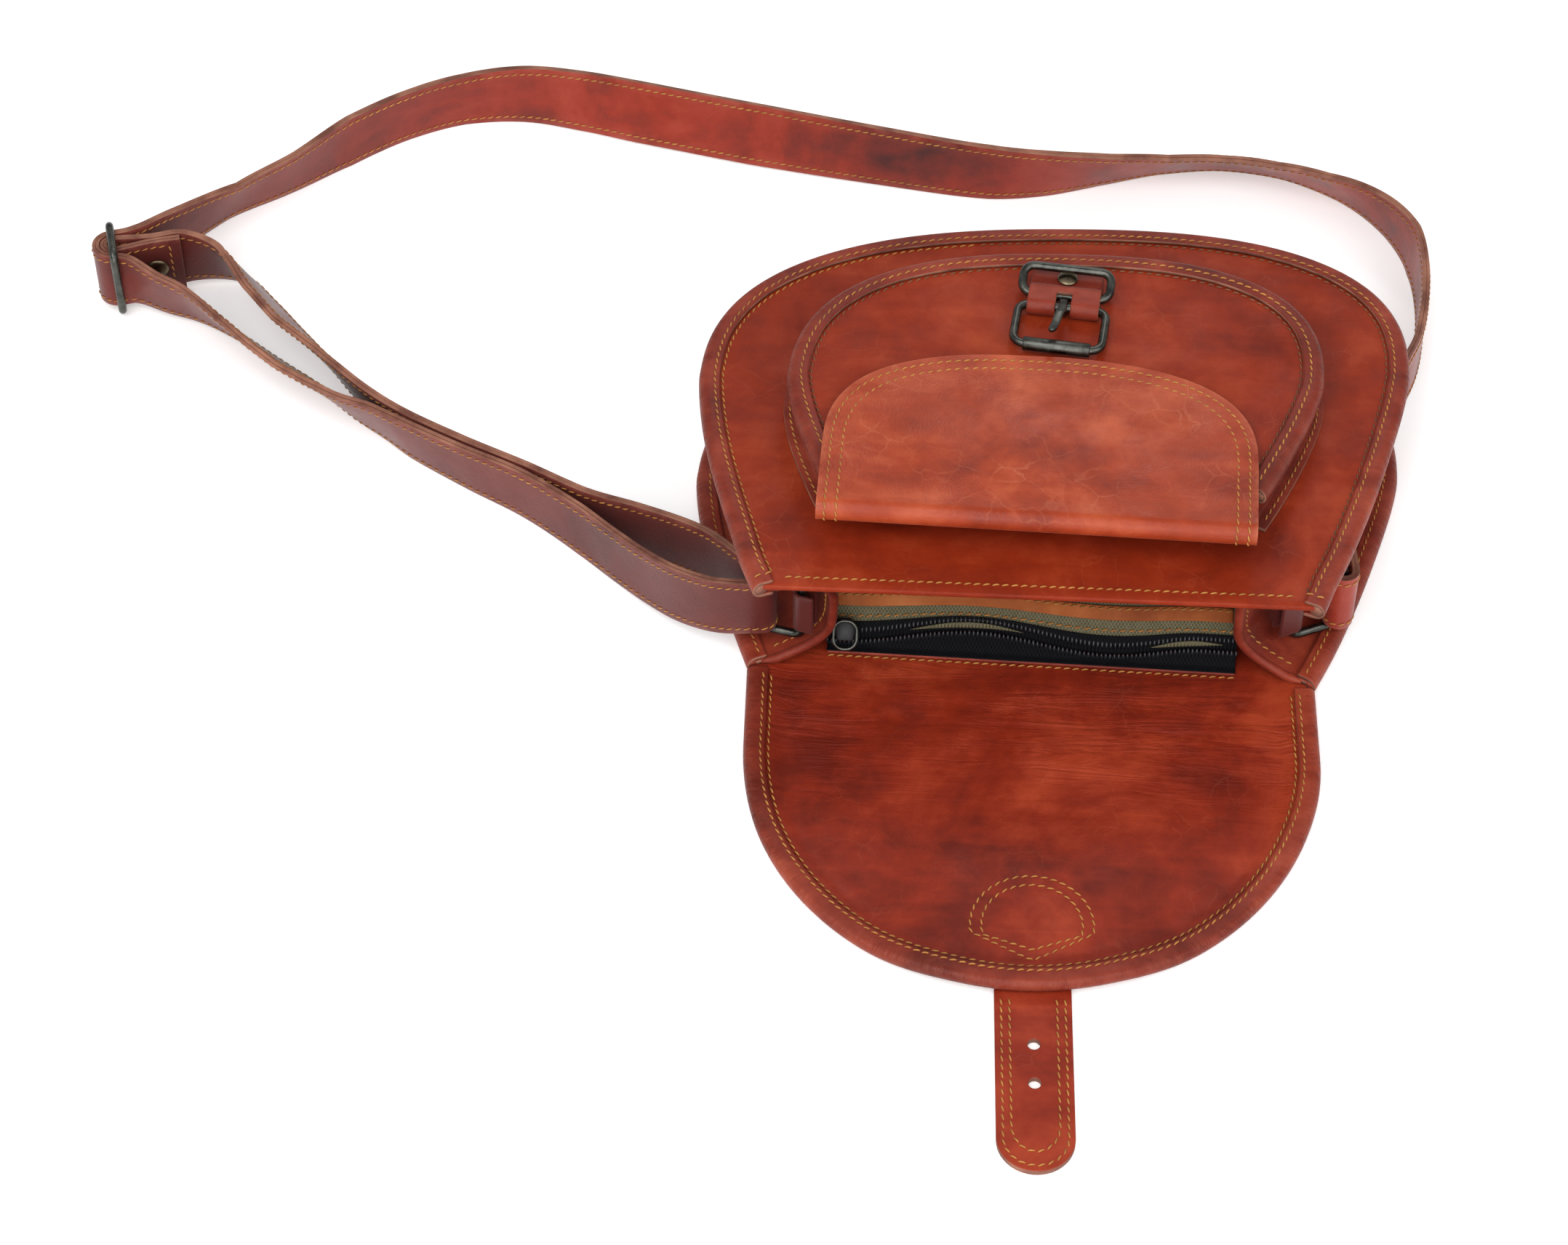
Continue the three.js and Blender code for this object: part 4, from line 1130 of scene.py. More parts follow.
@dataclass
class BagBody:
    """Back panel and flap, gusset, front panel and their bound edges."""

    paint: Palette
    stitch: Stitching
    dark_stitch: Stitching
    gap: float = 0.3
    panel: float = 2.4
    binding: float = 1.4
    reach: float = 8.2
    inset: float = 3.8
    depth: float = 66.2
    back: Outline = Outline(0.0, 109.4, 106.0, 141.0, 191.0)
    front: Outline = Outline(-13.0, 106.5, 106.0, 139.0, 190.0)
    flap_straight: float = 36.0
    flap_reach: float = 149.0
    sheet_middle: Pair = (0.0, -40.0)
    front_middle: Pair = (4.0, 75.0)
    calm_reach: float = 24.0
    tab_x: float = 2.6
    tab_rise: float = 2.9
    # Place along y, width, height and seed of each fold ridge
    ridges: tuple = ((-5.0, 3.2, 0.9, 0.3), (-12.0, 2.6, 0.7, 1.9), (-19.0, 3.4, 0.75, 3.1),
                     (-27.0, 4.2, 0.6, 4.4), (-37.0, 6.0, 0.45, 5.2))
    flap_rows: Pair = (6.5, 9.5)
    front_rows: Pair = (6.3, 9.3)
    back_row: float = 5.6
    tack: Pair = (1.6, 9.6)
    mouth_row: float = 5.0
    gusset_wall: float = 1.8
    gusset_web: float = 12.2
    rest_bow: float = 11.0
    mouth_bow: float = 21.0
    mouth_run: float = 62.0
    fullness: float = 4.0
    rest_slip: float = 2.0
    roll_radius: float = 0.9

    def __post_init__(self) -> None:
        """Works out the heights of the stacked layers."""
        self.rise = self.binding + self.gap
        self.low_flange = self.rise + self.panel + self.gap + self.gusset_wall / 2
        self.high_flange = self.depth - self.low_flange
        self.back_top = self.low_flange + self.gusset_wall / 2 + self.rise
        self.front_top = self.depth - self.rise
        self.flap_top = 2 * self.rise + self.panel

    def flap_edge(self, count: int) -> Array:
        """Edge of the flap from the left end of the fold round the tip to the right: sides and an ellipse.

        Args:
            count: Points along the edge.

        Returns:
            Array of shape (count, 2).
        """
        half = self.back.mouth_half
        tip = arc(1.0, PI, 2 * PI, 300) * [half, self.flap_reach - self.flap_straight]
        left = np.stack([np.full(40, -half), np.linspace(0, -self.flap_straight, 41)[:-1]], axis=1)
        right = left[::-1] * [-1.0, 1.0]
        return resample(settled(np.vstack([left, tip - [0.0, self.flap_straight], right])), count)

    def tab_lift(self, plan: Array) -> Array:
        """Height of the flap over its tab: full above the tab's head, easing to nothing round it."""
        aside = np.abs(plan[..., 0] - self.tab_x)
        return self.tab_rise * ease(62.0, 26.0, aside) * ease(-62.0, -98.0, plan[..., 1])

    def flap_folds(self, plan: Array) -> Array:
        """Low ridges along the fold line and faint hollows over the flap: sums of bent Gaussian ridges.

        Args:
            plan: Plan points.

        Returns:
            Heights of the points.
        """
        x, y = plan[..., 0], plan[..., 1]
        height = 0.5 * (1 + ripple(x / 46.0 + y / 60.0, 0.7)) * ease(0.0, -60.0, y) * ease(20.0, 40.0, -y)
        for place, width, size, seed in self.ridges:
            bend = 3.0 * ripple(x / 34.0, seed)
            fade = 0.6 + 0.4 * ripple(x / 22.0, seed + 2.0)
            height = height + size * fade * np.exp(-(((y - place - bend) / width) ** 2))
        return height * ease(108.0, 80.0, np.abs(x)) * ease(14.0, 4.0, y)

    def lie(self, plan: Array, away: Array) -> Array:
        """Height of the sheet's under face: raised near its bound edge and over the tab, folded inside.

        Args:
            plan: Plan points of shape (..., 2).
            away: Their distances from the edge.

        Returns:
            Heights of the points.
        """
        low = self.rise * (1.0 - ease(self.reach, 2 * self.reach, away))
        return low + self.tab_lift(plan) + self.flap_folds(plan) * ease(self.reach, self.calm_reach, away)

    def flap_face(self, plan: Array) -> Array:
        """Height of the flap's upper face at plan points of shape (n, 2)."""
        away = np.linalg.norm(plan[:, None] - self.flap_edge(400)[None], axis=-1).min(axis=1)
        return self.lie(plan, away) + self.panel

    def make_back(self) -> None:
        """Back panel and flap in one sheet, flat on the floor inside its bound edge."""
        edge = resample(np.vstack([self.back.edge(320), self.flap_edge(260)[1:-1]]), 520, looped=True)
        insets = [self.inset, 5.2, 6.8, self.reach, 10.0, 12.0, 14.0, 16.5, 19.0]
        plan, depth = radial_grid(edge, insets, np.linspace(0.98, 0.02, 49), self.sheet_middle)
        grid = lifted(plan, self.lie(plan, depth[:, None]) + self.panel / 2)
        disc_piece("back_and_flap_hide", grid, self.panel, [self.paint.flap, self.paint.raw], "back_and_flap",
                   0.0)

    def make_bindings(self) -> None:
        """Bound edges of the flap, the back and the front, with their stitch rows and filled ends."""
        flap, back, front = self.flap_edge(420), self.back.edge(420), self.front.edge(460)
        flap[[0, -1], 1] -= self.gap
        back[[0, -1], 1] += self.gap
        for node, edge, low, high, raised in (
                ("flap_binding", flap, 0.0, self.flap_top, self.tab_lift),
                ("back_binding", back, 0.0, self.back_top, None),
                ("front_binding", front, self.depth - self.back_top, self.depth, None)):
            line = binding_line(low, high, self.reach, self.reach, self.binding)
            binding_piece(node, carry(edge, line, raised), edge, line, self.binding, self.paint)
        for inset, height in zip(self.flap_rows, (self.flap_top, self.flap_top - self.rise + ON_TOP)):
            self.stitch.add(edge_row(flap, inset, height + ON_TOP, self.tab_lift)[3:-3])
        self.stitch.add(edge_row(front, self.front_rows[0], self.depth + ON_TOP)[4:-4])
        inner = edge_row(front, self.front_rows[1], self.front_top + ON_TOP)
        self.dark_stitch.add(inner[4:260])
        self.stitch.add(inner[260:-4])
        tack = np.linspace([self.tack[0], self.depth + ON_TOP], [self.tack[1], self.depth + ON_TOP], 6)
        for place in (3, -4):
            self.stitch.add(carry(front, tack)[place])
        for end in (slice(2, 150), slice(-150, -2)):
            self.stitch.add(edge_row(back, self.back_row, self.back_top + ON_TOP)[end])
        half = self.back_top / 2
        cores = (("front", front, self.depth - half, self.paint.raw),
                 ("back", back, half, self.paint.binding))
        for side, end in ENDS:
            for layer, edge, height, finish in cores:
                path = edge_row(edge, half - CORE_SINK, height)[end]
                tube_piece(f"{layer}_core_{side}", path, half - self.binding, finish, sides=20)

    def gusset_grid(self, edge: Array, share: Array) -> Array:
        """Middle points of the gusset's web.

        Inset = web + bow * (1 - |2 share - 1| ** fullness); the bow and the forward slant grow towards the
        mouth, where small creases run along the bow.

        Args:
            edge: Back edge points, shape (n, 2).
            share: Heights from 0 at the lower flange to 1 at the upper one.

        Returns:
            Array of shape (n, len(share), 3).
        """
        run = lengths_along(edge)
        run = np.minimum(run, run[-1] - run)[:, None]
        near = 1.0 - ease(0.0, self.mouth_run, run)
        bow = self.rest_bow + (self.mouth_bow - self.rest_bow) * near
        crease = 0.9 * ripple(run / 9.0 + share[None] * 2.5, 0.4) * ease(90.0, 20.0, run)
        pinch = 1.0 - np.abs(2 * share[None] - 1.0) ** self.fullness
        mouth_slip = self.back.mouth_half - self.front.mouth_half
        slip = self.rest_slip + (mouth_slip - self.rest_slip) * near
        inset = self.gusset_web + (bow + crease) * pinch + slip * share[None]
        plan = edge[:, None] + inward(edge)[:, None] * inset[..., None]
        plan[..., 1] += (self.gap + self.front.mouth_y * share[None]) * near
        return lifted(plan, self.low_flange + (self.high_flange - self.low_flange) * share[None])

    def make_gusset(self) -> None:
        """Gusset channel with flanges, and a rolled, stitched rim at each mouth end."""
        edge = self.back.edge(420)
        share = np.concatenate([np.linspace(0.0, 0.14, 8), np.linspace(0.14, 0.86, 26)[1:],
                                np.linspace(0.86, 1.0, 8)[1:]])
        flange = self.inset - self.gusset_web
        low, high = self.gusset_grid(edge, np.zeros(4)), self.gusset_grid(edge, np.ones(4))
        steps = ((low, np.linspace(flange, 0.0, 5)[:-1]), (high, np.linspace(0.0, flange, 5)[1:]))
        for leaf, step in steps:
            leaf[..., :2] += inward(edge)[:, None] * step[None, :, None]
        grid = np.concatenate([low, self.gusset_grid(edge, share), high], axis=1)
        sheet_piece("gusset_hide", grid, self.gusset_wall, [self.paint.gusset, self.paint.raw],
                    "gusset")
        for name, end in (("right", 0), ("left", -1)):
            path = resample(grid[end, 1:-1], 90)
            swell = 1.0 + ease(0.0, 0.16, np.sin(np.linspace(0.0, PI, 90)))
            tube_piece("ear_roll_" + name, path, self.roll_radius * swell, self.paint.gusset,
                       sides=12)
        middle = self.gusset_grid(edge, np.linspace(0.0, 1.0, 71))
        for place in (4, -5):
            facing = unit(np.cross(middle[place + 1] - middle[place - 1], np.gradient(middle[place], axis=0)))
            facing = -facing * np.sign(np.sum(facing[35, :2] * inward(edge)[place]))
            self.stitch.add(middle[place] + facing * (self.gusset_wall / 2 + ON_TOP), facing)

    def make_front(self) -> None:
        """Front panel: one sheet, waved a little, with a stitched mouth edge."""
        closed = closed_edge(self.front.edge(360), self.inset, 90)
        plan, depth = radial_grid(closed, [0.0], np.linspace(0.96, 0.04, 18), self.front_middle)
        wave = 0.16 * ripple(plan[..., 0] / 18.0 + plan[..., 1] / 31.0, 0.9)
        inside = ease(0.98, 0.8, np.linspace(1, 0, len(depth)))[:, None]
        grid = lifted(plan, self.front_top - self.panel / 2 + wave * inside)
        disc_piece("front_panel_hide", grid, self.panel, [self.paint.panel], "front_panel", 0.7)
        line = np.linspace(closed[359], closed[0], 80)[3:-3] + [0.0, self.mouth_row]
        self.stitch.add(lifted(line, self.front_top + 1.5 * ON_TOP))

    def make(self) -> None:
        """Builds the body's pieces in order."""
        self.make_back()
        self.make_bindings()
        self.make_gusset()
        self.make_front()


@dataclass
class FlapTab:
    """Fastening tab of the flap: a strip with two holes and a round head sewn under the flap."""

    paint: Palette
    stitch: Stitching
    body: BagBody
    half: float = 14.0
    below: float = 75.6
    head_rise: float = 24.0
    head_radius: float = 22.0
    wall: float = 2.6
    rim: float = 0.35
    turn: float = 0.028
    place: Pair = (2.6, -149.0)
    hole_radius: float = 2.3
    holes: Pair = (21.6, 38.4)
    row_start: float = -1.5
    # Inset, rise and stretch of the rounded end of each stitch row along the strip
    strip_rows: tuple = ((2.4, 0.0, 1.0), (5.4, 5.0, 1.25))
    # Inset, lowest point and overrun in half turns of each stitch row round the head
    head_rows: tuple = ((-0.6, 13.0, 0.05), (3.5, 18.0, 0.08))
    head_row_rise: float = 29.0

    def put(self, local: Array, z: float) -> Array:
        """Local plan points turned and moved to the flap's tip at a height."""
        return lifted(turned(local, self.turn, self.place), z)

    def rings(self) -> list[Array]:
        """Closed lines of the strip with its head, and of each hole, drawn in by the rounded rim.

        Returns:
            Lines of plan points, the strip's first.
        """
        half, radius = self.half - self.rim, self.head_radius - self.rim
        neck = math.asin(half / radius)
        tip = arc(half, PI, 2 * PI, 40, (0.0, self.half - self.below))
        head = arc(radius, neck - PI / 2, 1.5 * PI - neck, 70, (0.0, self.head_rise))
        size = self.hole_radius + self.rim
        holes = [arc(size, 0.0, -2 * PI, 33, (0.0, -below))[:-1] for below in self.holes]
        return [resample(np.vstack([tip, head]), 170, looped=True), *holes]

    def flat_mesh(self) -> bpy.types.Mesh:
        """Mesh of the tab, drawn as a filled flat curve with a rounded edge and lifted to lie on the floor.

        Returns:
            The mesh.
        """
        curve = bpy.data.curves.new("flap_tab_hide", "CURVE")
        curve.dimensions = "2D"
        curve.fill_mode = "BOTH"
        curve.extrude = (self.wall / 2 - self.rim) * MM
        curve.bevel_depth = self.rim * MM
        curve.bevel_resolution = 2
        for ring in self.rings():
            spline = curve.splines.new("POLY")
            spline.points.add(len(ring) - 1)
            spot = self.put(ring, 0.0) * MM
            spline.points.foreach_set("co", np.column_stack([spot, np.ones(len(spot))]).ravel())
            spline.use_cyclic_u = True
        shape = bpy.data.objects.new("flap_tab_shape", curve)
        bpy.context.scene.collection.objects.link(shape)
        bpy.context.view_layer.update()
        mesh = bpy.data.meshes.new_from_object(shape.evaluated_get(bpy.context.evaluated_depsgraph_get()))
        bpy.data.objects.remove(shape)
        mesh.name = "flap_tab_hide"
        points = np.empty(len(mesh.vertices) * 3)
        mesh.vertices.foreach_get("co", points)
        points[2::3] += self.wall / 2 * MM
        mesh.vertices.foreach_set("co", points)
        mesh.materials.clear()
        return mesh

    def make(self) -> None:
        """Tab with raw cut edges, its stitch rows and those of its head."""
        mesh = self.flat_mesh()
        finishes = [self.paint.flap, self.paint.raw]
        place_piece("flap_tab_hide", mesh, finishes, "flap_tab", Body.BAG)
        facing = np.empty(len(mesh.polygons) * 3)
        mesh.polygons.foreach_get("normal", facing)
        cut_edge = np.abs(facing[2::3]) < 0.6
        mesh.polygons.foreach_set("material_index", cut_edge.astype(np.int32))
        for inset, rise, stretch in self.strip_rows:
            half = self.half - inset
            tip = arc(half, PI, 2 * PI, 24) * [1.0, stretch] + [0.0, self.half - self.below + rise]
            line = np.vstack([[[-half, self.row_start]], tip, [[half, self.row_start]]])
            self.stitch.add(self.put(resample(line, 160), self.wall + ON_TOP))
        for inset, low, sweep in self.head_rows:
            radius = self.head_radius - inset
            head = arc(radius, -sweep * PI, (1.0 + sweep) * PI, 80, (0.0, self.head_row_rise))
            line = self.put(resample(np.vstack([head, [[0.0, low]], head[:1]]), 200), ON_TOP)
            line[:, 2] += self.body.flap_face(line[:, :2])
            self.stitch.add(line)


@dataclass
class FrontPocket:
    """Pocket on the front panel with its bound edge and its folded flap."""

    paint: Palette
    stitch: Stitching
    dark_stitch: Stitching
    outline: Outline = Outline(27.6, 84.0, 84.0, 103.0, 154.0)
    place: Pair = (-2.0, 0.0)
    turn: float = -0.03
    front_top: float = 64.5
    top: float = 86.2
    rise: float = 1.7
    gap: float = 0.3
    panel: float = 2.4
    side_wall: float = 1.6
    binding: float = 1.4
    leaf_reach: Pair = (4.8, 8.2)
    face_inset: float = 3.8
    face_middle: Pair = (4.0, 80.0)
    top_row: float = 5.4
    face_row: float = 9.2
    foot_row: float = 1.2
    flap_half: float = 82.0
    flap_wall: float = 2.2
    fold_y: float = 10.0
    fold_radius: float = 3.9
    root_y: float = 26.3
    straight_y: float = 38.0
    reach_y: float = 91.5
    power: float = 2.6
    end_rows: int = 44
    fold_start: int = 25
    flap_rows: Pair = (3.2, 7.6)

    def put(self, points: Array) -> Array:
        """Points of the pocket turned and moved to where it is sewn on."""
        return turned(points, self.turn, self.place)

    def make(self) -> None:
        """Builds the side strip, bound edge, face and flap with their stitch rows."""
        edge = self.outline.edge(380)
        face_top = self.top - self.rise
        flange = face_top - self.panel - self.gap - self.side_wall / 2
        base = self.front_top + self.gap + self.side_wall / 2
        low = flange - self.side_wall / 2 - self.rise
        corners = np.array([[-1.2, base], [3.6, base], [4.9, base + 0.5], [5.4, base + 1.8],
                            [6.2, base + 8.0], [7.0, flange - 1.8], [6.6, flange - 0.5], [5.4, flange],
                            [3.8, flange]])
        sheet_piece("pocket_side_hide", self.put(carry(edge, corners)), self.side_wall,
                    [self.paint.binding, self.paint.raw], "pocket_gusset", 0.3)
        line = binding_line(low, self.top, *self.leaf_reach, self.binding)
        binding_piece("pocket_binding", self.put(carry(edge, line)), edge, line, self.binding, self.paint)
        half = (self.top - low) / 2
        core = self.put(edge_row(edge, half - CORE_SINK, (self.top + low) / 2))
        for side, end in ENDS:
            tube_piece("pocket_core_" + side, core[end], half - self.binding, self.paint.raw,
                       sides=20)
        plan, _ = radial_grid(closed_edge(edge, self.face_inset, 60), [0.0], np.linspace(0.95, 0.05, 14),
                              self.face_middle)
        wave = 0.06 * ripple(plan[..., 0] / 15.0 + plan[..., 1] / 24.0, 2.2)
        disc_piece("pocket_face_hide", self.put(lifted(plan, face_top - self.panel / 2 + wave)), self.panel,
                   [self.paint.panel, self.paint.raw], "pocket_face", 0.5)
        foot = base + self.side_wall / 2
        for thread, inset, height in ((self.stitch, self.top_row, self.top),
                                      (self.dark_stitch, self.face_row, face_top),
                                      (self.stitch, self.foot_row, foot)):
            thread.add(self.put(edge_row(edge, inset, height + ON_TOP)[4:-4]))
        self.make_flap()

    def flap_line(self, shrink: float) -> tuple[Array, Array, Array]:
        """Run of the flap from its seam under the fold to its free end.

        The lower leg climbs to a tight half-round fold, then the top runs level and droops a little at the
        end; its half-width follows a superellipse from straight_y to the end.

        Args:
            shrink: Distance that the outline is drawn in.

        Returns:
            Middle line as y and z, its outward directions, and its half-widths.
        """
        root_z = self.front_top + self.gap + self.flap_wall / 2
        top_z = self.top + self.gap + self.flap_wall / 2
        low_z = top_z - 2 * self.fold_radius
        leg = np.array([[self.root_y, root_z, 0.0], [self.root_y - 2.6, root_z + 0.2, 0.0],
                        [self.root_y - 5.8, root_z + 2.7, 0.0], [self.fold_y + 6.6, low_z - 5.6, 0.0],
                        [self.fold_y + 3.2, low_z - 1.2, 0.0], [self.fold_y, low_z, 0.0]])
        fold_centre = (self.fold_y, low_z + self.fold_radius)
        fold = arc(self.fold_radius, -PI / 2, -3 * PI / 2, 21, fold_centre)[1:]
        flat = np.stack([np.linspace(self.fold_y, self.straight_y, 18)[1:-1], np.full(16, top_z)], axis=1)
        half, reach = self.flap_half - shrink, self.reach_y - shrink - self.straight_y
        halves, y = superellipse(half, reach, self.power, PI / 2 - 0.02, self.end_rows).T
        y = y + self.straight_y
        tail = np.stack([y, top_z - ease(45.0, self.reach_y, y)], axis=1)
        line = np.vstack([smooth_line(leg, 4)[:, :2], fold, flat, tail])
        halves = np.concatenate([np.full(len(line) - self.end_rows, half), halves])
        return line, left_of(slopes(line)), halves

    def flap_surface(self, shrink: float, lift: float, columns: Array) -> Array:
        """Surface of the flap, with shallow waves and a low bulge on its top.

        Args:
            shrink: Distance that the outline is drawn in.
            lift: Distance out of the middle surface.
            columns: Places across, from -1 to 1.

        Returns:
            Array of shape (rows, len(columns), 3).
        """
        line, out, halves = self.flap_line(shrink)
        upper = (out[:, 1:] > 0.2) * 1.0
        line = line + lift * out
        x = columns[None] * halves[:, None]
        y = np.repeat(line[:, :1], len(columns), axis=1)
        top = ease(self.fold_y - 2.0, self.fold_y + 30.0, y) * upper
        wave = 0.35 * (1.0 + ripple(x / 30.0 + y / 40.0, 1.3)) * top
        bulge = 1.1 * (1.0 - columns[None] ** 2) * ease(92.0, 60.0, y) * top
        return np.stack([x, y, line[:, 1:] + wave + bulge], axis=-1)

    def make_flap(self) -> None:
        """Pocket flap with worn rims and its two stitch rows."""
        columns = np.sin(np.linspace(-PI / 2, PI / 2, 47))
        grid = self.put(self.flap_surface(0.0, 0.0, columns))
        rim = np.maximum(np.abs(columns)[None] ** 60, np.linspace(0.0, 1.0, len(grid))[:, None] ** 60)
        finishes = [self.paint.cognac, self.paint.raw]
        sheet_piece("pocket_flap_hide", grid, self.flap_wall, finishes, "pocket_flap", 0.35, rim)
        for shrink in self.flap_rows:
            sides = self.flap_surface(shrink, self.flap_wall / 2 + ON_TOP, np.array([-1.0, 1.0]))
            sides = sides[self.fold_start:]
            out = self.flap_line(shrink)[1][self.fold_start:]
            out = np.column_stack([np.zeros(len(out)), out])
            line = self.put(np.vstack([sides[:, 0], sides[::-1, 1]]))
            self.stitch.add(line, np.vstack([out, out[::-1]]))


@dataclass
class PocketBuckle:
    """Chape, rivet, buckle frame, roller, prong and keeper, in the buckle's own frame."""

    paint: Palette
    pocket: FrontPocket
    place: Pair = (5.9, 118.6)
    turn: float = -0.082
    wire: float = 1.7
    width: float = 34.4
    reach: float = 22.0
    corner: float = 4.5
    bar_z: float = 88.6
    chape_columns: tuple = (3.0, 4.0, 7.0, 10.0, 13.0, 14.0)
    chape_wall: float = 1.8
    chape_tail: float = 20.0
    slot_reach: float = 5.0
    loop: float = 2.9
    tail_z: float = -0.8
    roller_half: float = 13.0
    keeper_v: float = 6.4
    keeper_reach: float = 12.0
    keeper_corner: float = 4.2
    keeper_tilt: float = 0.35
    rivet_y: float = 15.9
    rivet: tuple = ((0.05, 0.0), (3.7, 0.0), (4.0, 0.25), (3.9, 0.6), (3.2, 1.05), (2.0, 1.38), (0.8, 1.5),
                    (0.05, 1.52))
    prong_lift: float = 0.3
    prong_eye: float = 2.8
    prong_half: float = 1.65
    prong_tip: tuple = (0.9, 1.3, 1.55, 1.65)
    prong_thick: float = 0.75
    prong_bend: float = 0.14
    prong_bend_y: float = -5.0
    tongue: tuple = ((-22.8, 1.2), (-19.5, 1.2), (-16.5, 1.3), (-13.0, 2.1), (-9.5, 3.1), (-6.0, 3.1),
                     (-2.9, 3.0))

    def put(self, local: Array) -> Array:
        """Local points, bar along x and mouth towards -y, to the object's frame."""
        return self.pocket.put(turned(local, self.turn, self.place) + [0.0, 0.0, self.bar_z])

    def make_chape(self) -> None:
        """Leather folded round the bar and riveted, left open over the fold for the prong's slot."""
        fold = arc(self.loop, -PI / 2, -3 * PI / 2, 18)
        under = np.linspace([self.chape_tail, -self.loop], [0.0, -self.loop], 16)[:-1]
        over = np.array([[4.0, self.loop], [5.2, self.loop], [7.6, self.loop - 0.1], [8.9, self.loop - 0.9],
                         [10.6, self.tail_z + 1.0], [11.8, self.tail_z + 0.1], [14.0, self.tail_z],
                         [self.chape_tail, self.tail_z]])
        line = np.vstack([under, fold, resample(over, 26)])
        half = np.array(self.chape_columns)
        columns = np.concatenate([-half[::-1], half])
        grid = np.empty((len(line), len(columns), 3))
        grid[..., 0] = columns
        grid[..., 1:] = line[:, None]
        faces = grid_faces(len(line), len(columns)).reshape(len(line) - 1, len(columns) - 1, 4)
        middle = (line[:-1, 0] + line[1:, 0]) / 2
        slot = (middle[:, None] < self.slot_reach) & (np.arange(len(columns) - 1)[None] == len(half) - 1)
        piece = make_piece("buckle_chape_hide", self.put(grid), faces[~slot].tolist(),
                           [self.paint.binding, self.paint.raw], "buckle_chape")
        thicken(piece, self.chape_wall, 0.3)

    def make_metal(self) -> None:
        """Wire frame, its roller tube and the tilted keeper loop."""
        loop = rounded_loop(self.width, self.reach, self.corner) - [0.0, self.reach / 2]
        wire_piece("buckle_frame_wire", self.put(lifted(loop, 0.0)), self.wire, self.paint.gunmetal,
                   "buckle_frame", Body.FRAME)
        half = self.roller_half
        profile = ((1.85, -half), (2.5, -half), (2.72, -half + 0.4), (2.72, half - 0.4), (2.5, half),
                   (1.85, half))
        lathe_piece("buckle_roller_tube", profile,
                    lambda p: self.put(np.stack([p[..., 2], p[..., 0] - self.reach, p[..., 1]], axis=-1)),
                    self.paint.gunmetal, "buckle_roller", Body.ROLLER, 28)
        keeper = rounded_loop(self.width, self.keeper_reach, self.keeper_corner)
        away = keeper[:, 1] + self.keeper_reach / 2
        path = np.column_stack([keeper[:, 0], self.keeper_v + away * math.cos(self.keeper_tilt),
                                away * math.sin(self.keeper_tilt)])
        wire_piece("keeper_wire", self.put(path), self.wire, self.paint.gunmetal, "keeper_loop", Body.KEEPER)

    def make_prong(self) -> None:
        """Flat tongue with an eye: a rounded bar section carried along a bent line, tilted about the bar."""
        start = PI / 2 + 0.3
        eye = arc(self.prong_eye, start, start - 1.72 * PI, 26)
        tongue = smooth_line(lifted(np.array(self.tongue), 0.0), 5)[:, :2]
        line = np.vstack([tongue, eye])
        sides = 16
        c, s = arc(1.0, 0.0, 2 * PI, sides + 1)[:-1].T
        width = np.full(len(line), self.prong_half)
        width[:len(self.prong_tip)] = self.prong_tip
        rise = self.prong_thick * np.sign(s) * np.abs(s) ** 0.5
        yz = line[:, None] + left_of(slopes(line))[:, None] * rise[None, :, None]
        yz = turned(yz, -self.prong_lift, (0.0, 0.0))
        lean = self.prong_bend * np.maximum(0.0, self.prong_bend_y - yz[..., 0])
        x = width[:, None] * (np.sign(c) * np.abs(c) ** 0.5)[None] - lean
        points = self.put(np.concatenate([x[..., None], yz], axis=-1))
        make_piece("buckle_prong_tongue", points, tube_faces(len(line), sides), [self.paint.gunmetal],
                   "buckle_prong", Body.PRONG)

    def make(self) -> None:
        """Builds the buckle's pieces, the rivet head last."""
        self.make_chape()
        self.make_metal()
        self.make_prong()
        base = np.array([0.0, self.rivet_y, self.tail_z + self.chape_wall / 2 + 0.3])
        lathe_piece("chape_rivet_head", self.rivet, lambda p: self.put(p + base), self.paint.bronze,
                    "chape_rivet")


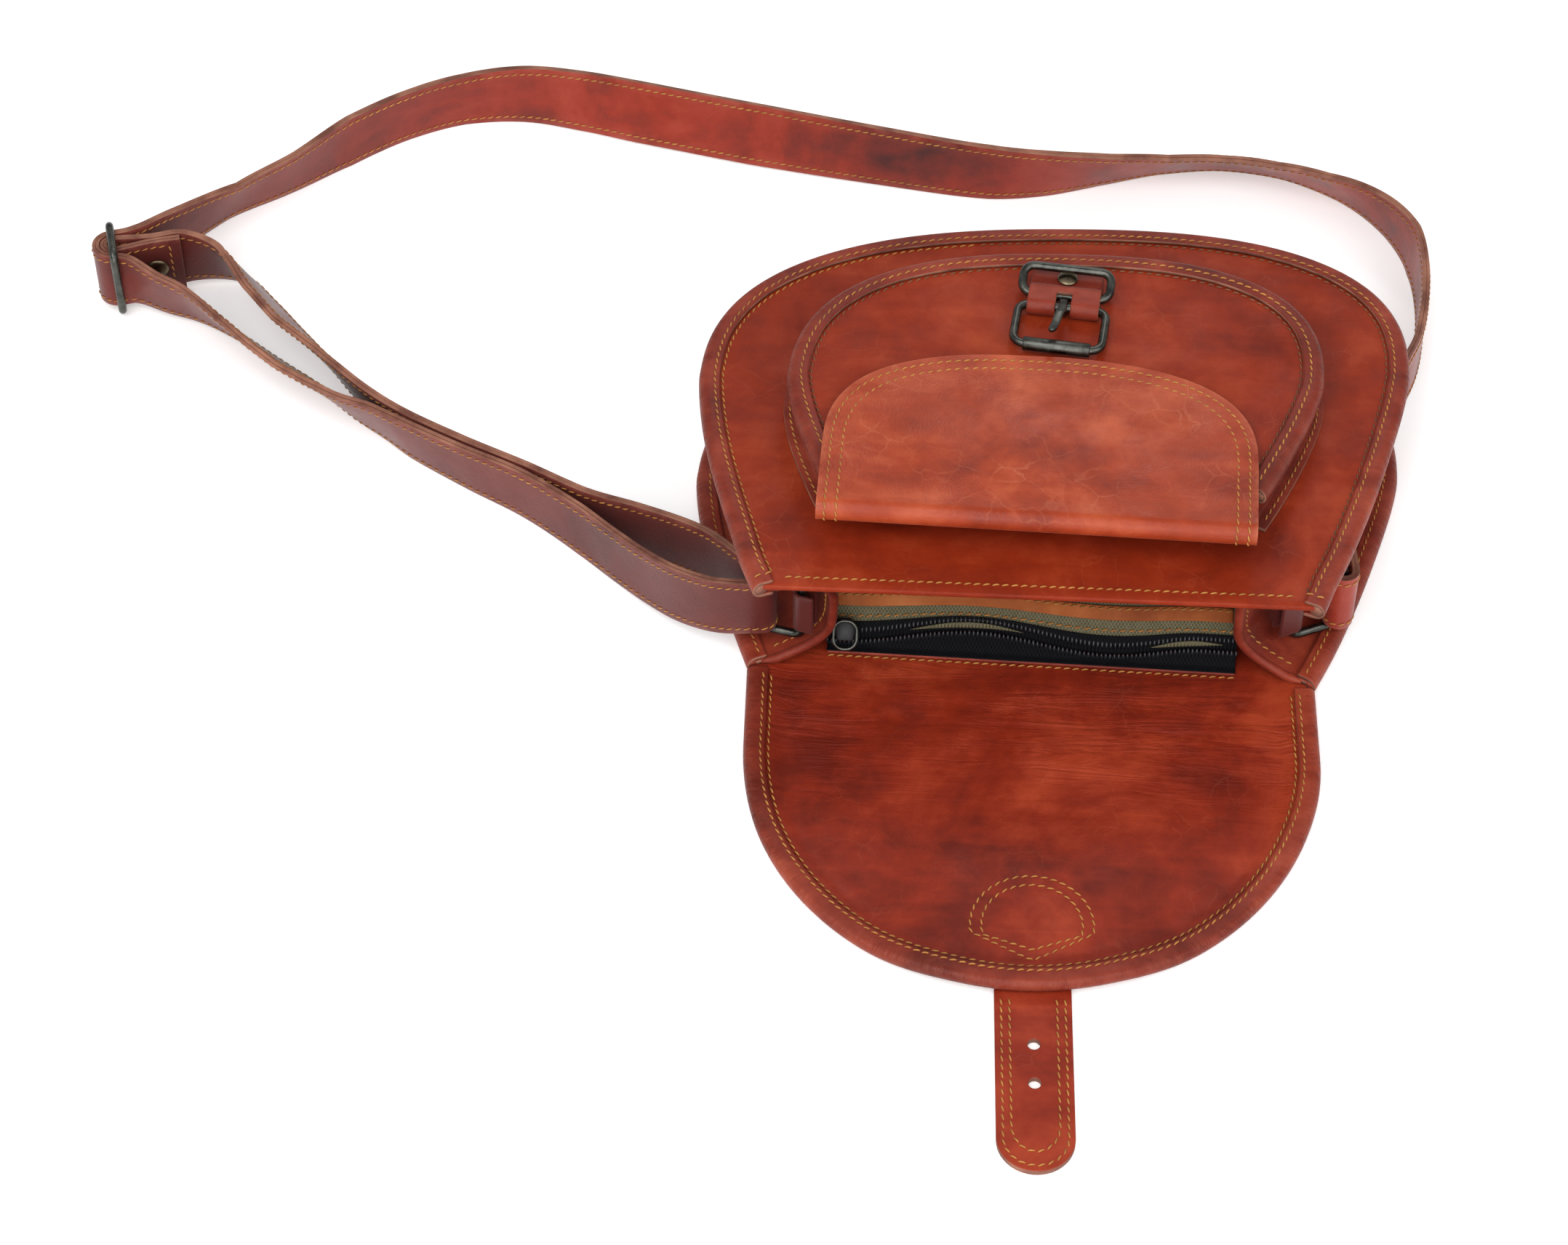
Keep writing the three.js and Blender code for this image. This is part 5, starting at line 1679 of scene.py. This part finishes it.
@dataclass
class ZipPocket:
    """Canvas wall, tan facing, zip tapes with teeth, slider and ring in the mouth."""

    paint: Palette
    stitch: Stitching
    slant: float = -0.024
    # Rows of y, z and half-width
    wall_rows: tuple = ((16.5, 13.6, 79.0), (27.0, 25.4, 78.0), (36.0, 29.5, 78.0), (60.0, 30.5, 86.0),
                        (95.0, 26.0, 92.0), (125.0, 15.0, 86.0), (140.0, 5.5, 80.0), (150.0, 3.3, 74.0))
    back_rows: tuple = ((9.0, 3.25, 79.0), (12.6, 3.4, 79.0), (14.8, 7.6, 79.0))
    front_rows: tuple = ((15.6, 14.0, 79.0), (17.2, 15.6, 79.0))
    facing_rows: tuple = ((20.3, 19.7, 77.0), (24.0, 23.8, 77.0))
    # Size of the wave at places along y
    wave_rows: tuple = ((9.0, 12.6, 14.8, 15.6, 17.6, 20.3, 24.0, 36.0),
                        (0.0, 0.3, 3.1, 3.5, 2.0, 1.3, 1.2, 0.0))
    wave_crest: float = -22.0
    wave_half: float = 51.0
    canvas_wall: float = 0.9
    tape_wall: float = 1.0
    facing_wall: float = 1.6
    lip_radius: float = 0.75
    # First and last tape column of each place where the zip gapes
    gapes: tuple = (("left", 24, 58), ("right", 94, 116))
    tooth: tuple = (1.15, 0.5, 0.95)
    teeth_count: int = 96
    slider_place: Colour = (-72.0, 14.2, 12.8)
    slider_tilt: float = 0.82
    slider_corners: tuple = ((-3.0, -4.4), (3.0, -4.4), (4.4, 1.0), (2.4, 4.4), (-2.4, 4.4), (-4.4, 1.0))
    slider_levels: tuple = ((0.05, 0.3), (0.9, 0.3), (1.0, 0.6), (1.0, 2.0), (0.9, 2.4), (0.05, 2.5))
    ring: Colour = (9.0, 11.0, 4.0)
    ring_wire: float = 0.7
    ring_at: Pair = (-2.0, 3.6)

    def wave(self, x: Array, y: Array) -> Array:
        """Slack of the zip: the free edges rise and fall in one long wave that is weaker at the right end."""
        size = np.interp(y, *self.wave_rows) * (1.0 - 0.7 * ease(45.0, 77.0, x))
        return size * np.cos((x - self.wave_crest) * PI / self.wave_half)

    def cross(self, rows: tuple, count: int, columns: int) -> Array:
        """Grid across the mouth, smoothed along its length, slanted and waved.

        Args:
            rows: Rows of y, z and half-width.
            count: Samples along the length, shared among the rows.
            columns: Points across.

        Returns:
            Array of shape (samples, columns, 3).
        """
        table = np.array(rows, float)
        knots = np.column_stack([table[:, :2], 0 * table[:, 0], table[:, 2]])
        line = smooth_line(knots, max(2, count // len(table)))
        x = np.linspace(-1.0, 1.0, columns)[None] * line[:, 3:]
        y = np.repeat(line[:, :1], columns, axis=1)
        wave = self.wave(x, y)
        slanted = y + 0.5 * wave + self.slant * x * ease(36.0, 20.0, y)
        return np.stack([x, slanted, line[:, 1:2] + 0.87 * wave], axis=-1)

    def make_canvas(self) -> None:
        """Canvas wall down to the back panel, as a sheet, with the row that sews it to the zip."""
        grid = self.cross(self.wall_rows, 56, 90)
        wall = sheet_piece("zip_pocket_canvas", grid, self.canvas_wall, [self.paint.canvas],
                           "inner_pocket_wall")
        self.stitch.add((grid[1] + grid[2]) / 2 + [0.0, -0.5, 0.5], (0, -0.7, 0.7))

    def make_zip(self) -> None:
        """Two tapes with teeth, the facing above and the lip below, and the lining where the zip gapes."""
        back, front = self.cross(self.back_rows, 18, 120), self.cross(self.front_rows, 18, 120)
        for name, grid in (("zip_tape_back", back), ("zip_tape_front", front)):
            sheet_piece(name + "_cloth", grid, self.tape_wall, [self.paint.tape], name)
        facing = self.cross(self.facing_rows, 18, 110)
        sheet_piece("facing_hide", facing, self.facing_wall, [self.paint.tan, self.paint.raw],
                    "facing_strip", 0.4)
        self.stitch.add(facing[7] + [0.0, -0.7, 0.9], (0, -0.7, 0.7))
        low, high = back[-1], front[0]
        self.make_teeth("zip_teeth_back", low, unit(low - back[-3]))
        self.make_teeth("zip_teeth_front", high, unit(high - front[2]))
        tube_piece("zip_lip", back[0] + [0.0, 0.2, -0.3], self.lip_radius, self.paint.binding,
                   sides=10)
        self.stitch.add(back[0] + [0.0, -1.7, -0.25])
        # Black strip behind the teeth rows: folded tape, and painted shade in the narrow gap between the rows
        between = np.linspace(low, high, 6) + [0.0, 1.3, 0.0]
        sheet_piece("zip_gap_tape_and_shade", between, 0.6, [self.paint.tape])
        for name, first, last in self.gapes:
            gap = (low + high)[first:last] / 2
            swell = 0.2 * np.sin(np.linspace(0.0, PI, last - first))[:, None] * (high - low)[first:last]
            lining = np.linspace(gap - swell, gap + swell, 4) + [0.0, 0.6, 0.0]
            sheet_piece("zip_gap_lining_" + name, lining, 0.3, [self.paint.canvas])

    def make_teeth(self, name: str, line: Array, out: Array) -> None:
        """Row of small rounded teeth along a tape's free edge.

        Args:
            name: Piece name.
            line: Points of the edge.
            out: Directions out of the tape.
        """
        spots = resample(np.hstack([line, out]), self.teeth_count)
        centre, reach = spots[:, :3], unit(spots[:, 3:])
        along = slopes(centre)
        points = lenses(centre, (reach, along, np.cross(along, reach)), self.tooth, TOOTH_SHAPE)
        lens_piece(name, points, self.paint.coil)

    def by_slider(self, local: Array) -> Array:
        """Local points tilted with the zip and moved to its left end."""
        yz = turned(local[..., 1:], self.slider_tilt, self.slider_place[1:])
        return np.concatenate([local[..., :1] + self.slider_place[0], yz], axis=-1)

    def make_slider(self) -> None:
        """Zip slider as a rounded shell and its ring."""
        sides = 36
        outline = resample(np.array(self.slider_corners), sides, looped=True)
        size, height = np.array(self.slider_levels).T[:, :, None]
        local = lifted(outline[None] * size[..., None], height)
        faces = tube_faces(len(size), sides)
        make_piece("zip_slider_shell", self.by_slider(local), faces, [self.paint.shell],
                   "zip_slider")
        loop = rounded_loop(*self.ring) + [0.0, self.ring_at[0]]
        wire_piece("zip_pull_ring", self.by_slider(lifted(loop, self.ring_at[1])), self.ring_wire,
                   self.paint.gunmetal, "zip_ring", sides=10)

    def make(self) -> None:
        """Builds the cloth, the zip and its slider."""
        self.make_canvas()
        self.make_zip()
        self.make_slider()


@dataclass
class ShoulderStrap:
    """Leather band on edge, its slider, rivet, side rings and ring tabs."""

    paint: Palette
    stitch: Stitching
    width: float = 28.0
    wall: float = 3.0
    gap: float = 0.3
    wire: float = 1.7
    loop: float = 4.4
    slider_place: Pair = (-385.5, 195.0)
    slider_turn: float = 0.26
    slider_rise: float = 4.1
    slider_reach: float = 22.0
    slider_middle: float = 18.1
    ring_height: float = 32.4
    ring_corner: float = 4.0
    left_rise: float = 15.9
    right_rise: float = 12.0
    # Outer and inner side, foot and tab length of each ring
    left_ring: tuple = ((-104.4, 13.2), (-88.4, 9.2), 12.2, 5.0)
    right_ring: tuple = ((118.2, 30.5), (100.2, 22.0), 8.3, 7.2)
    tab_loop: float = 2.8
    tab_wall: float = 1.6
    tab_height: float = 20.0
    tab_rise: float = 5.5
    rivet_along: float = 17.0
    rivet: tuple = ((0.05, 0.0), (4.5, 0.0), (4.8, 0.3), (4.6, 0.75), (3.4, 1.25), (1.8, 1.52), (0.05, 1.6))
    # Rows of x, y, rise of the lower edge and lean in degrees
    back_run: tuple = ((-338, 202, 2, 24), (-323, 185.5, 1, 33), (-308.5, 168.5, 0, 34),
                       (-294.5, 153.5, 0, 28), (-280.5, 137, 0, 20), (-266, 122, 0, 15),
                       (-251.4, 110.6, 0, 12), (-226, 95.5, 0, 8), (-201, 82, 0, 3), (-178, 69, 0, 0),
                       (-152.5, 57, 3.5, 0), (-127, 39, 11, 0), (-111, 21.5, 15.9, 0))
    front_run: tuple = ((-109.5, 8.6, 15.9, 0), (-122, 11.5, 13, 0), (-136.5, 20.5, 8, 0), (-151, 34, 3, 0),
                        (-165.5, 48, 0.5, 0), (-178.7, 60, 0, 0), (-203, 78.2, 0, -4), (-228, 91.8, 0, -9),
                        (-253.6, 107, 0, -14), (-266.4, 116, 0, -20), (-279, 123.6, 0, -28),
                        (-292, 133.7, 0, -35), (-305.4, 143.5, 0, -37), (-318, 153.4, 0, -34),
                        (-334, 166.6, 0.5, -29), (-350.7, 177.8, 1.5, -20), (-364, 182.8, 2.5, -14))
    long_run: tuple = ((-366, 219.5, 2.5, 10), (-344, 244, 0, 24), (-321, 262.5, 0, 17), (-299, 284, 0, 5),
                       (-276, 302, 0, 5), (-252, 314, 0, 3), (-226, 318.8, 0, -6), (-200, 315.7, 0, -14),
                       (-174.6, 310, 0, -19), (-123, 298, 0, -19), (-72, 287.3, 0, -10), (-21, 278.6, 0, -2),
                       (4, 279, 0, 10), (29, 283.5, 0, 25), (53.6, 289, 0, 36), (79.7, 292, 0, 40),
                       (104.6, 288.2, 0, 39), (127, 278, 0, 31), (141, 267.4, 0, 20), (152, 254, 0, 9),
                       (158.8, 238.5, 0, 0), (161, 217, 0, 0), (159.6, 195.5, 0.5, 0), (155, 170, 4, 0),
                       (147.5, 148, 8.6, 0), (138.4, 122, 9.8, 0), (131.4, 96, 9.8, 0), (124.4, 70, 12, 0),
                       (118, 50, 12, 0))
    sewn_end: tuple = ((121.6, 42, 12, 0), (122.2, 55, 12, 0))

    def by_slider(self, along: float, front: float, lean: float = 0.0) -> list[float]:
        """Strap row beside the slider: distance towards the bag, distance to the front, and lean."""
        spot = turned(np.array([along, -front]), self.slider_turn, self.slider_place)
        return [*spot, self.slider_rise, lean]

    def turn_round(self, place: Pair, radius: float, start: float, end: float, rise: float,
                   steps: int = 6) -> list:
        """Strap rows on an arc round a bar, upright."""
        return [[*spot, rise, 0.0] for spot in arc(radius, start, end, steps + 1, place)]

    def route(self) -> Array:
        """Rows of x, y, rise of the lower edge and lean, from the riveted end to the sewn end.

        Returns:
            Array of shape (n, 4).
        """
        half = (self.wall + self.gap) / 2
        start, end = self.slider_turn - PI / 2, self.slider_turn - 1.5 * PI
        rows = [self.by_slider(28, half), self.by_slider(16, half), self.by_slider(6, 2.9)]
        rows += self.turn_round(self.slider_place, 3.5, start, end, self.slider_rise)
        rows += [self.by_slider(6, -2.9), self.by_slider(16, -half), self.by_slider(29, -half)]
        rows += self.back_run
        rows += self.turn_round(self.left_ring[0], self.loop, PI / 2, -PI / 2, self.left_rise)
        rows += self.front_run
        rows += [self.by_slider(6, 8.3, -6.0)]
        rows += self.turn_round(self.slider_place, 6.8, start, end, self.slider_rise, 7)
        rows += [self.by_slider(9, -7.8)]
        rows += self.long_run
        rows += self.turn_round(self.right_ring[0], self.loop, PI, 2 * PI, self.right_rise)
        rows += self.sewn_end
        return np.array([list(row) for row in rows], float)

    def band(self) -> tuple[Array, Array, Array]:
        """Middle line of the band with its upward and outward directions.

        The lower edge's plan follows a Catmull-Rom curve; the upright is turned about the run by the lean.

        Returns:
            Middle points, directions across the width, and directions out of the face.
        """
        route = self.route()
        lower = smooth_line(route[:, :3], 8)
        lower[:, 2] = np.maximum(0.0, lower[:, 2])
        places = np.linspace(0, 1, len(route))
        lean = np.radians(np.interp(np.linspace(0, 1, len(lower)), places, route[:, 3]))[:, None]
        along = slopes(lower)
        side = unit(np.cross(along, UP))
        up = unit(np.cross(side, along)) * np.cos(lean) + side * np.sin(lean)
        lift = self.width / 2 * np.cos(lean) + self.wall / 2 * np.abs(np.sin(lean))
        return lower + lift * np.array(UP), up, np.cross(along, up)

    def make_band(self) -> None:
        """Band of two layers with raw edges, and a stitch row near each edge on both faces."""
        middle, up, out = self.band()
        across = np.linspace(-1.0, 1.0, 11)
        grid = middle[:, None] + up[:, None] * (across * self.width / 2)[None, :, None]
        rim = (np.abs(across) ** 6)[None] + 0 * grid[..., 0]
        share = np.linspace(0.0, 1.0, len(grid))[:, None] + 0 * grid[..., 0]
        # Painted shade: the doubled runs darken, most near the bag and at the riveted end by the slider
        near = np.exp(-(((share - 0.29) / 0.13) ** 2)) + ease(0.2, 0.05, share)
        shade = ease(0.7, 0.61, share) * np.minimum(1.0, 0.7 + 0.3 * near)
        finishes = [self.paint.strap, self.paint.raw]
        for name, place in (("outer", 0.25), ("inner", -0.25)):
            layer = grid + out[:, None] * place * self.wall
            sheet_piece("strap_layer_" + name, layer, self.wall / 2 - 0.06, finishes,
                        "shoulder_strap", 0.3, rim, shade)
        edge = 0.8 * self.width / 2
        ends = np.linspace(-edge, edge, 12)[:, None]
        for face in (out, -out):
            surface = middle + face * (self.wall / 2 + ON_TOP)
            for place in (-edge, edge):
                self.stitch.add((surface + up * place)[4:-4], face[4:-4])
            for place in (3, -4):
                self.stitch.add(surface[place] + ends * up[place], face[place])

    def make_ring(self, name: str, outer: Pair, inner: Pair, foot: float, tab: float) -> None:
        """Upright wire rectangle and the leather tab that holds its inner side to the gusset.

        Args:
            name: Side of the bag.
            outer: Plan place of the outer side, which the strap turns round.
            inner: Plan place of the inner side, which the tab turns round.
            foot: Height of the ring's foot.
            tab: Length of the tab.
        """
        start, end = np.array(outer), np.array(inner)
        reach = float(np.linalg.norm(end - start))
        along = (end - start) / reach
        foot = foot + self.wire
        loop = rounded_loop(reach, self.ring_height, self.ring_corner)
        plan = start + (loop[:, :1] + reach / 2) * along
        path = lifted(plan, loop[:, 1] + self.ring_height / 2 + foot)
        wire_piece("side_ring_wire_" + name, path, self.wire, self.paint.gunmetal, "side_ring_" + name)
        turn = self.tab_loop
        line = np.vstack([np.linspace([tab, -turn], [0, -turn], 8)[:-1], arc(turn, -PI / 2, -1.5 * PI, 20),
                          np.linspace([0, turn], [tab, turn], 8)[1:]])
        plan = end + line[:, :1] * along + line[:, 1:] * left_of(along[None])
        height = np.linspace(0.0, self.tab_height, 12) + foot + self.tab_rise
        grid = lifted(np.repeat(plan[:, None], len(height), axis=1), height)
        # A run of ones gives the whole tab the strap's full painted shade
        sheet_piece("ring_tab_hide_" + name, grid, self.tab_wall, [self.paint.strap],
                    "ring_tab_" + name, 0.7, run=np.ones(grid.shape[:2]))

    def make_slider(self) -> None:
        """Wire slider with its middle bar, and the rivet through the strap's turned end."""
        c, s = math.cos(self.slider_turn), math.sin(self.slider_turn)
        front, side = np.array([s, -c, 0.0]), np.array([c, s, 0.0])
        centre = np.array([*self.slider_place, self.slider_middle])
        loop = rounded_loop(self.slider_reach, self.ring_height, self.ring_corner)
        path = centre + loop[:, :1] * front + loop[:, 1:] * np.array(UP)
        wire_piece("strap_slider_wire", path, self.wire, self.paint.gunmetal, "strap_slider")
        bar = centre + np.linspace(-0.5, 0.5, 12)[:, None] * self.ring_height * np.array(UP)
        # A hair of bow gives the straight bar a plane to turn its rings in
        bar[:, 0] += 1e-4 * np.arange(12) ** 2
        tube_piece("strap_slider_bar", bar, self.wire, self.paint.gunmetal)
        base = centre + self.rivet_along * side + (self.wall + 0.75) * front
        lathe_piece("strap_rivet_head", self.rivet,
                    lambda p: base + p[..., :1] * side + p[..., 1:2] * np.array(UP) + p[..., 2:] * front,
                    self.paint.bronze, "strap_rivet")

    def make(self) -> None:
        """Builds the strap's pieces."""
        self.make_band()
        self.make_ring("left", *self.left_ring)
        self.make_ring("right", *self.right_ring)
        self.make_slider()


@dataclass(frozen=True)
class Studio:
    """Pale floor, soft lights and the camera of the photograph, in metres."""

    elevation: float = 48.5
    yaw: float = 3.0
    target: Colour = (-0.0965, 0.0276, 0.0)
    distance: float = 1.5382
    focal_pixels: float = 5400.0
    image_width: float = 2156.0
    sensor: float = 36.0
    floor_half: float = 6.0
    floor_z: float = -3e-4
    floor_glow: float = 0.3
    surround: float = 0.5
    light_target: Colour = (-0.05, 0.08, 0.0)
    # Name, place, side and power of each soft box
    lights: tuple = (("key", (-0.7, -1.0, 1.9), 1.4, 27.0), ("fill", (1.2, -0.9, 1.5), 1.4, 16.0),
                     ("front", (-0.1, -1.9, 0.9), 1.2, 18.0), ("back", (0.12, 1.3, 1.36), 0.35, 3.2))

    def aim(self, name: str, data: bpy.types.ID, place: Vector, target: Vector) -> Object:
        """A camera or light put at a place and turned to a target.

        Args:
            name: Object name.
            data: Camera or light.
            place: Where it stands.
            target: What it looks at.

        Returns:
            The new object.
        """
        thing = bpy.data.objects.new(name, data)
        thing.location = place
        thing.rotation_mode = "QUATERNION"
        thing.rotation_quaternion = (target - place).to_track_quat("-Z", "Y")
        bpy.context.scene.collection.objects.link(thing)
        return thing

    def make_camera(self) -> None:
        """Camera at the photograph's angle, looking at the target with no shift."""
        e, a = math.radians(self.elevation), math.radians(self.yaw)
        back = Vector((math.sin(a) * math.cos(e), -math.cos(a) * math.cos(e), math.sin(e)))
        data = bpy.data.cameras.new("photo_camera")
        data.sensor_width = self.sensor
        data.lens = self.focal_pixels / self.image_width * self.sensor
        data.clip_start, data.clip_end = 0.05, 50.0
        target = Vector(self.target)
        bpy.context.scene.camera = self.aim("photo_camera", data, target + back * self.distance, target)

    def make_floor(self) -> None:
        """Large pale floor just under the bag."""
        half, z = self.floor_half, self.floor_z
        mesh = bpy.data.meshes.new("studio_floor")
        mesh.from_pydata([(-half, -half, z), (half, -half, z), (half, half, z), (-half, half, z)], [],
                         [(0, 1, 2, 3)])
        bench = CoatBench("studio_paper")
        tone = bench.span(bench.noise(bench.place, 3.0, 3.0), 0.3, 0.7, 0.86, 0.89)
        colour = bench.add("ShaderNodeCombineColor", {0: tone, 1: tone, 2: tone}).outputs[0]
        values = {"Roughness": 0.9, "Specular IOR Level": 0.1, "Emission Color": (1.0, 1.0, 1.0, 1.0),
                  "Emission Strength": self.floor_glow}
        mesh.materials.append(bench.finish({"Base Color": colour}, values))
        floor = bpy.data.objects.new("studio_floor", mesh)
        bpy.context.scene.collection.objects.link(floor)
        floor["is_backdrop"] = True

    def make_lights(self) -> None:
        """Large soft boxes above and to both sides, and an even pale surround."""
        for name, place, size, power in self.lights:
            data = bpy.data.lights.new(name, "AREA")
            data.size = size
            data.energy = power
            self.aim(name + "_light", data, Vector(place), Vector(self.light_target))
        world = bpy.data.worlds.new("studio_surround")
        world.use_nodes = True
        background = world.node_tree.nodes["Background"].inputs
        background[0].default_value = (1.0, 1.0, 1.0, 1.0)
        background[1].default_value = self.surround
        bpy.context.scene.world = world
        bpy.context.scene.view_settings.view_transform = "Standard"

    def make(self) -> None:
        """Builds the camera, floor and lights."""
        self.make_camera()
        self.make_floor()
        self.make_lights()


def main() -> None:
    """Builds every sub-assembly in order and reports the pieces."""
    logging.basicConfig(level=logging.INFO, format="%(message)s")
    Studio().make()
    paint = Palette()
    body_thread = Stitching("bag_stitches", paint.thread)
    dark_thread = Stitching("bag_dark_stitches", paint.dark_thread)
    strap_thread = Stitching("strap_stitches", paint.thread, height=0.26)
    body = BagBody(paint, body_thread, dark_thread)
    body.make()
    FlapTab(paint, body_thread, body).make()
    pocket = FrontPocket(paint, body_thread, dark_thread)
    pocket.make()
    PocketBuckle(paint, pocket).make()
    ZipPocket(paint, body_thread).make()
    ShoulderStrap(paint, strap_thread).make()
    for row in (body_thread, dark_thread, strap_thread):
        row.make()
    bpy.context.view_layer.update()
    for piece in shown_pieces():
        LOG.info("piece %s with %d faces", piece.name, len(piece.data.polygons))


if __name__ == "__main__":
    main()
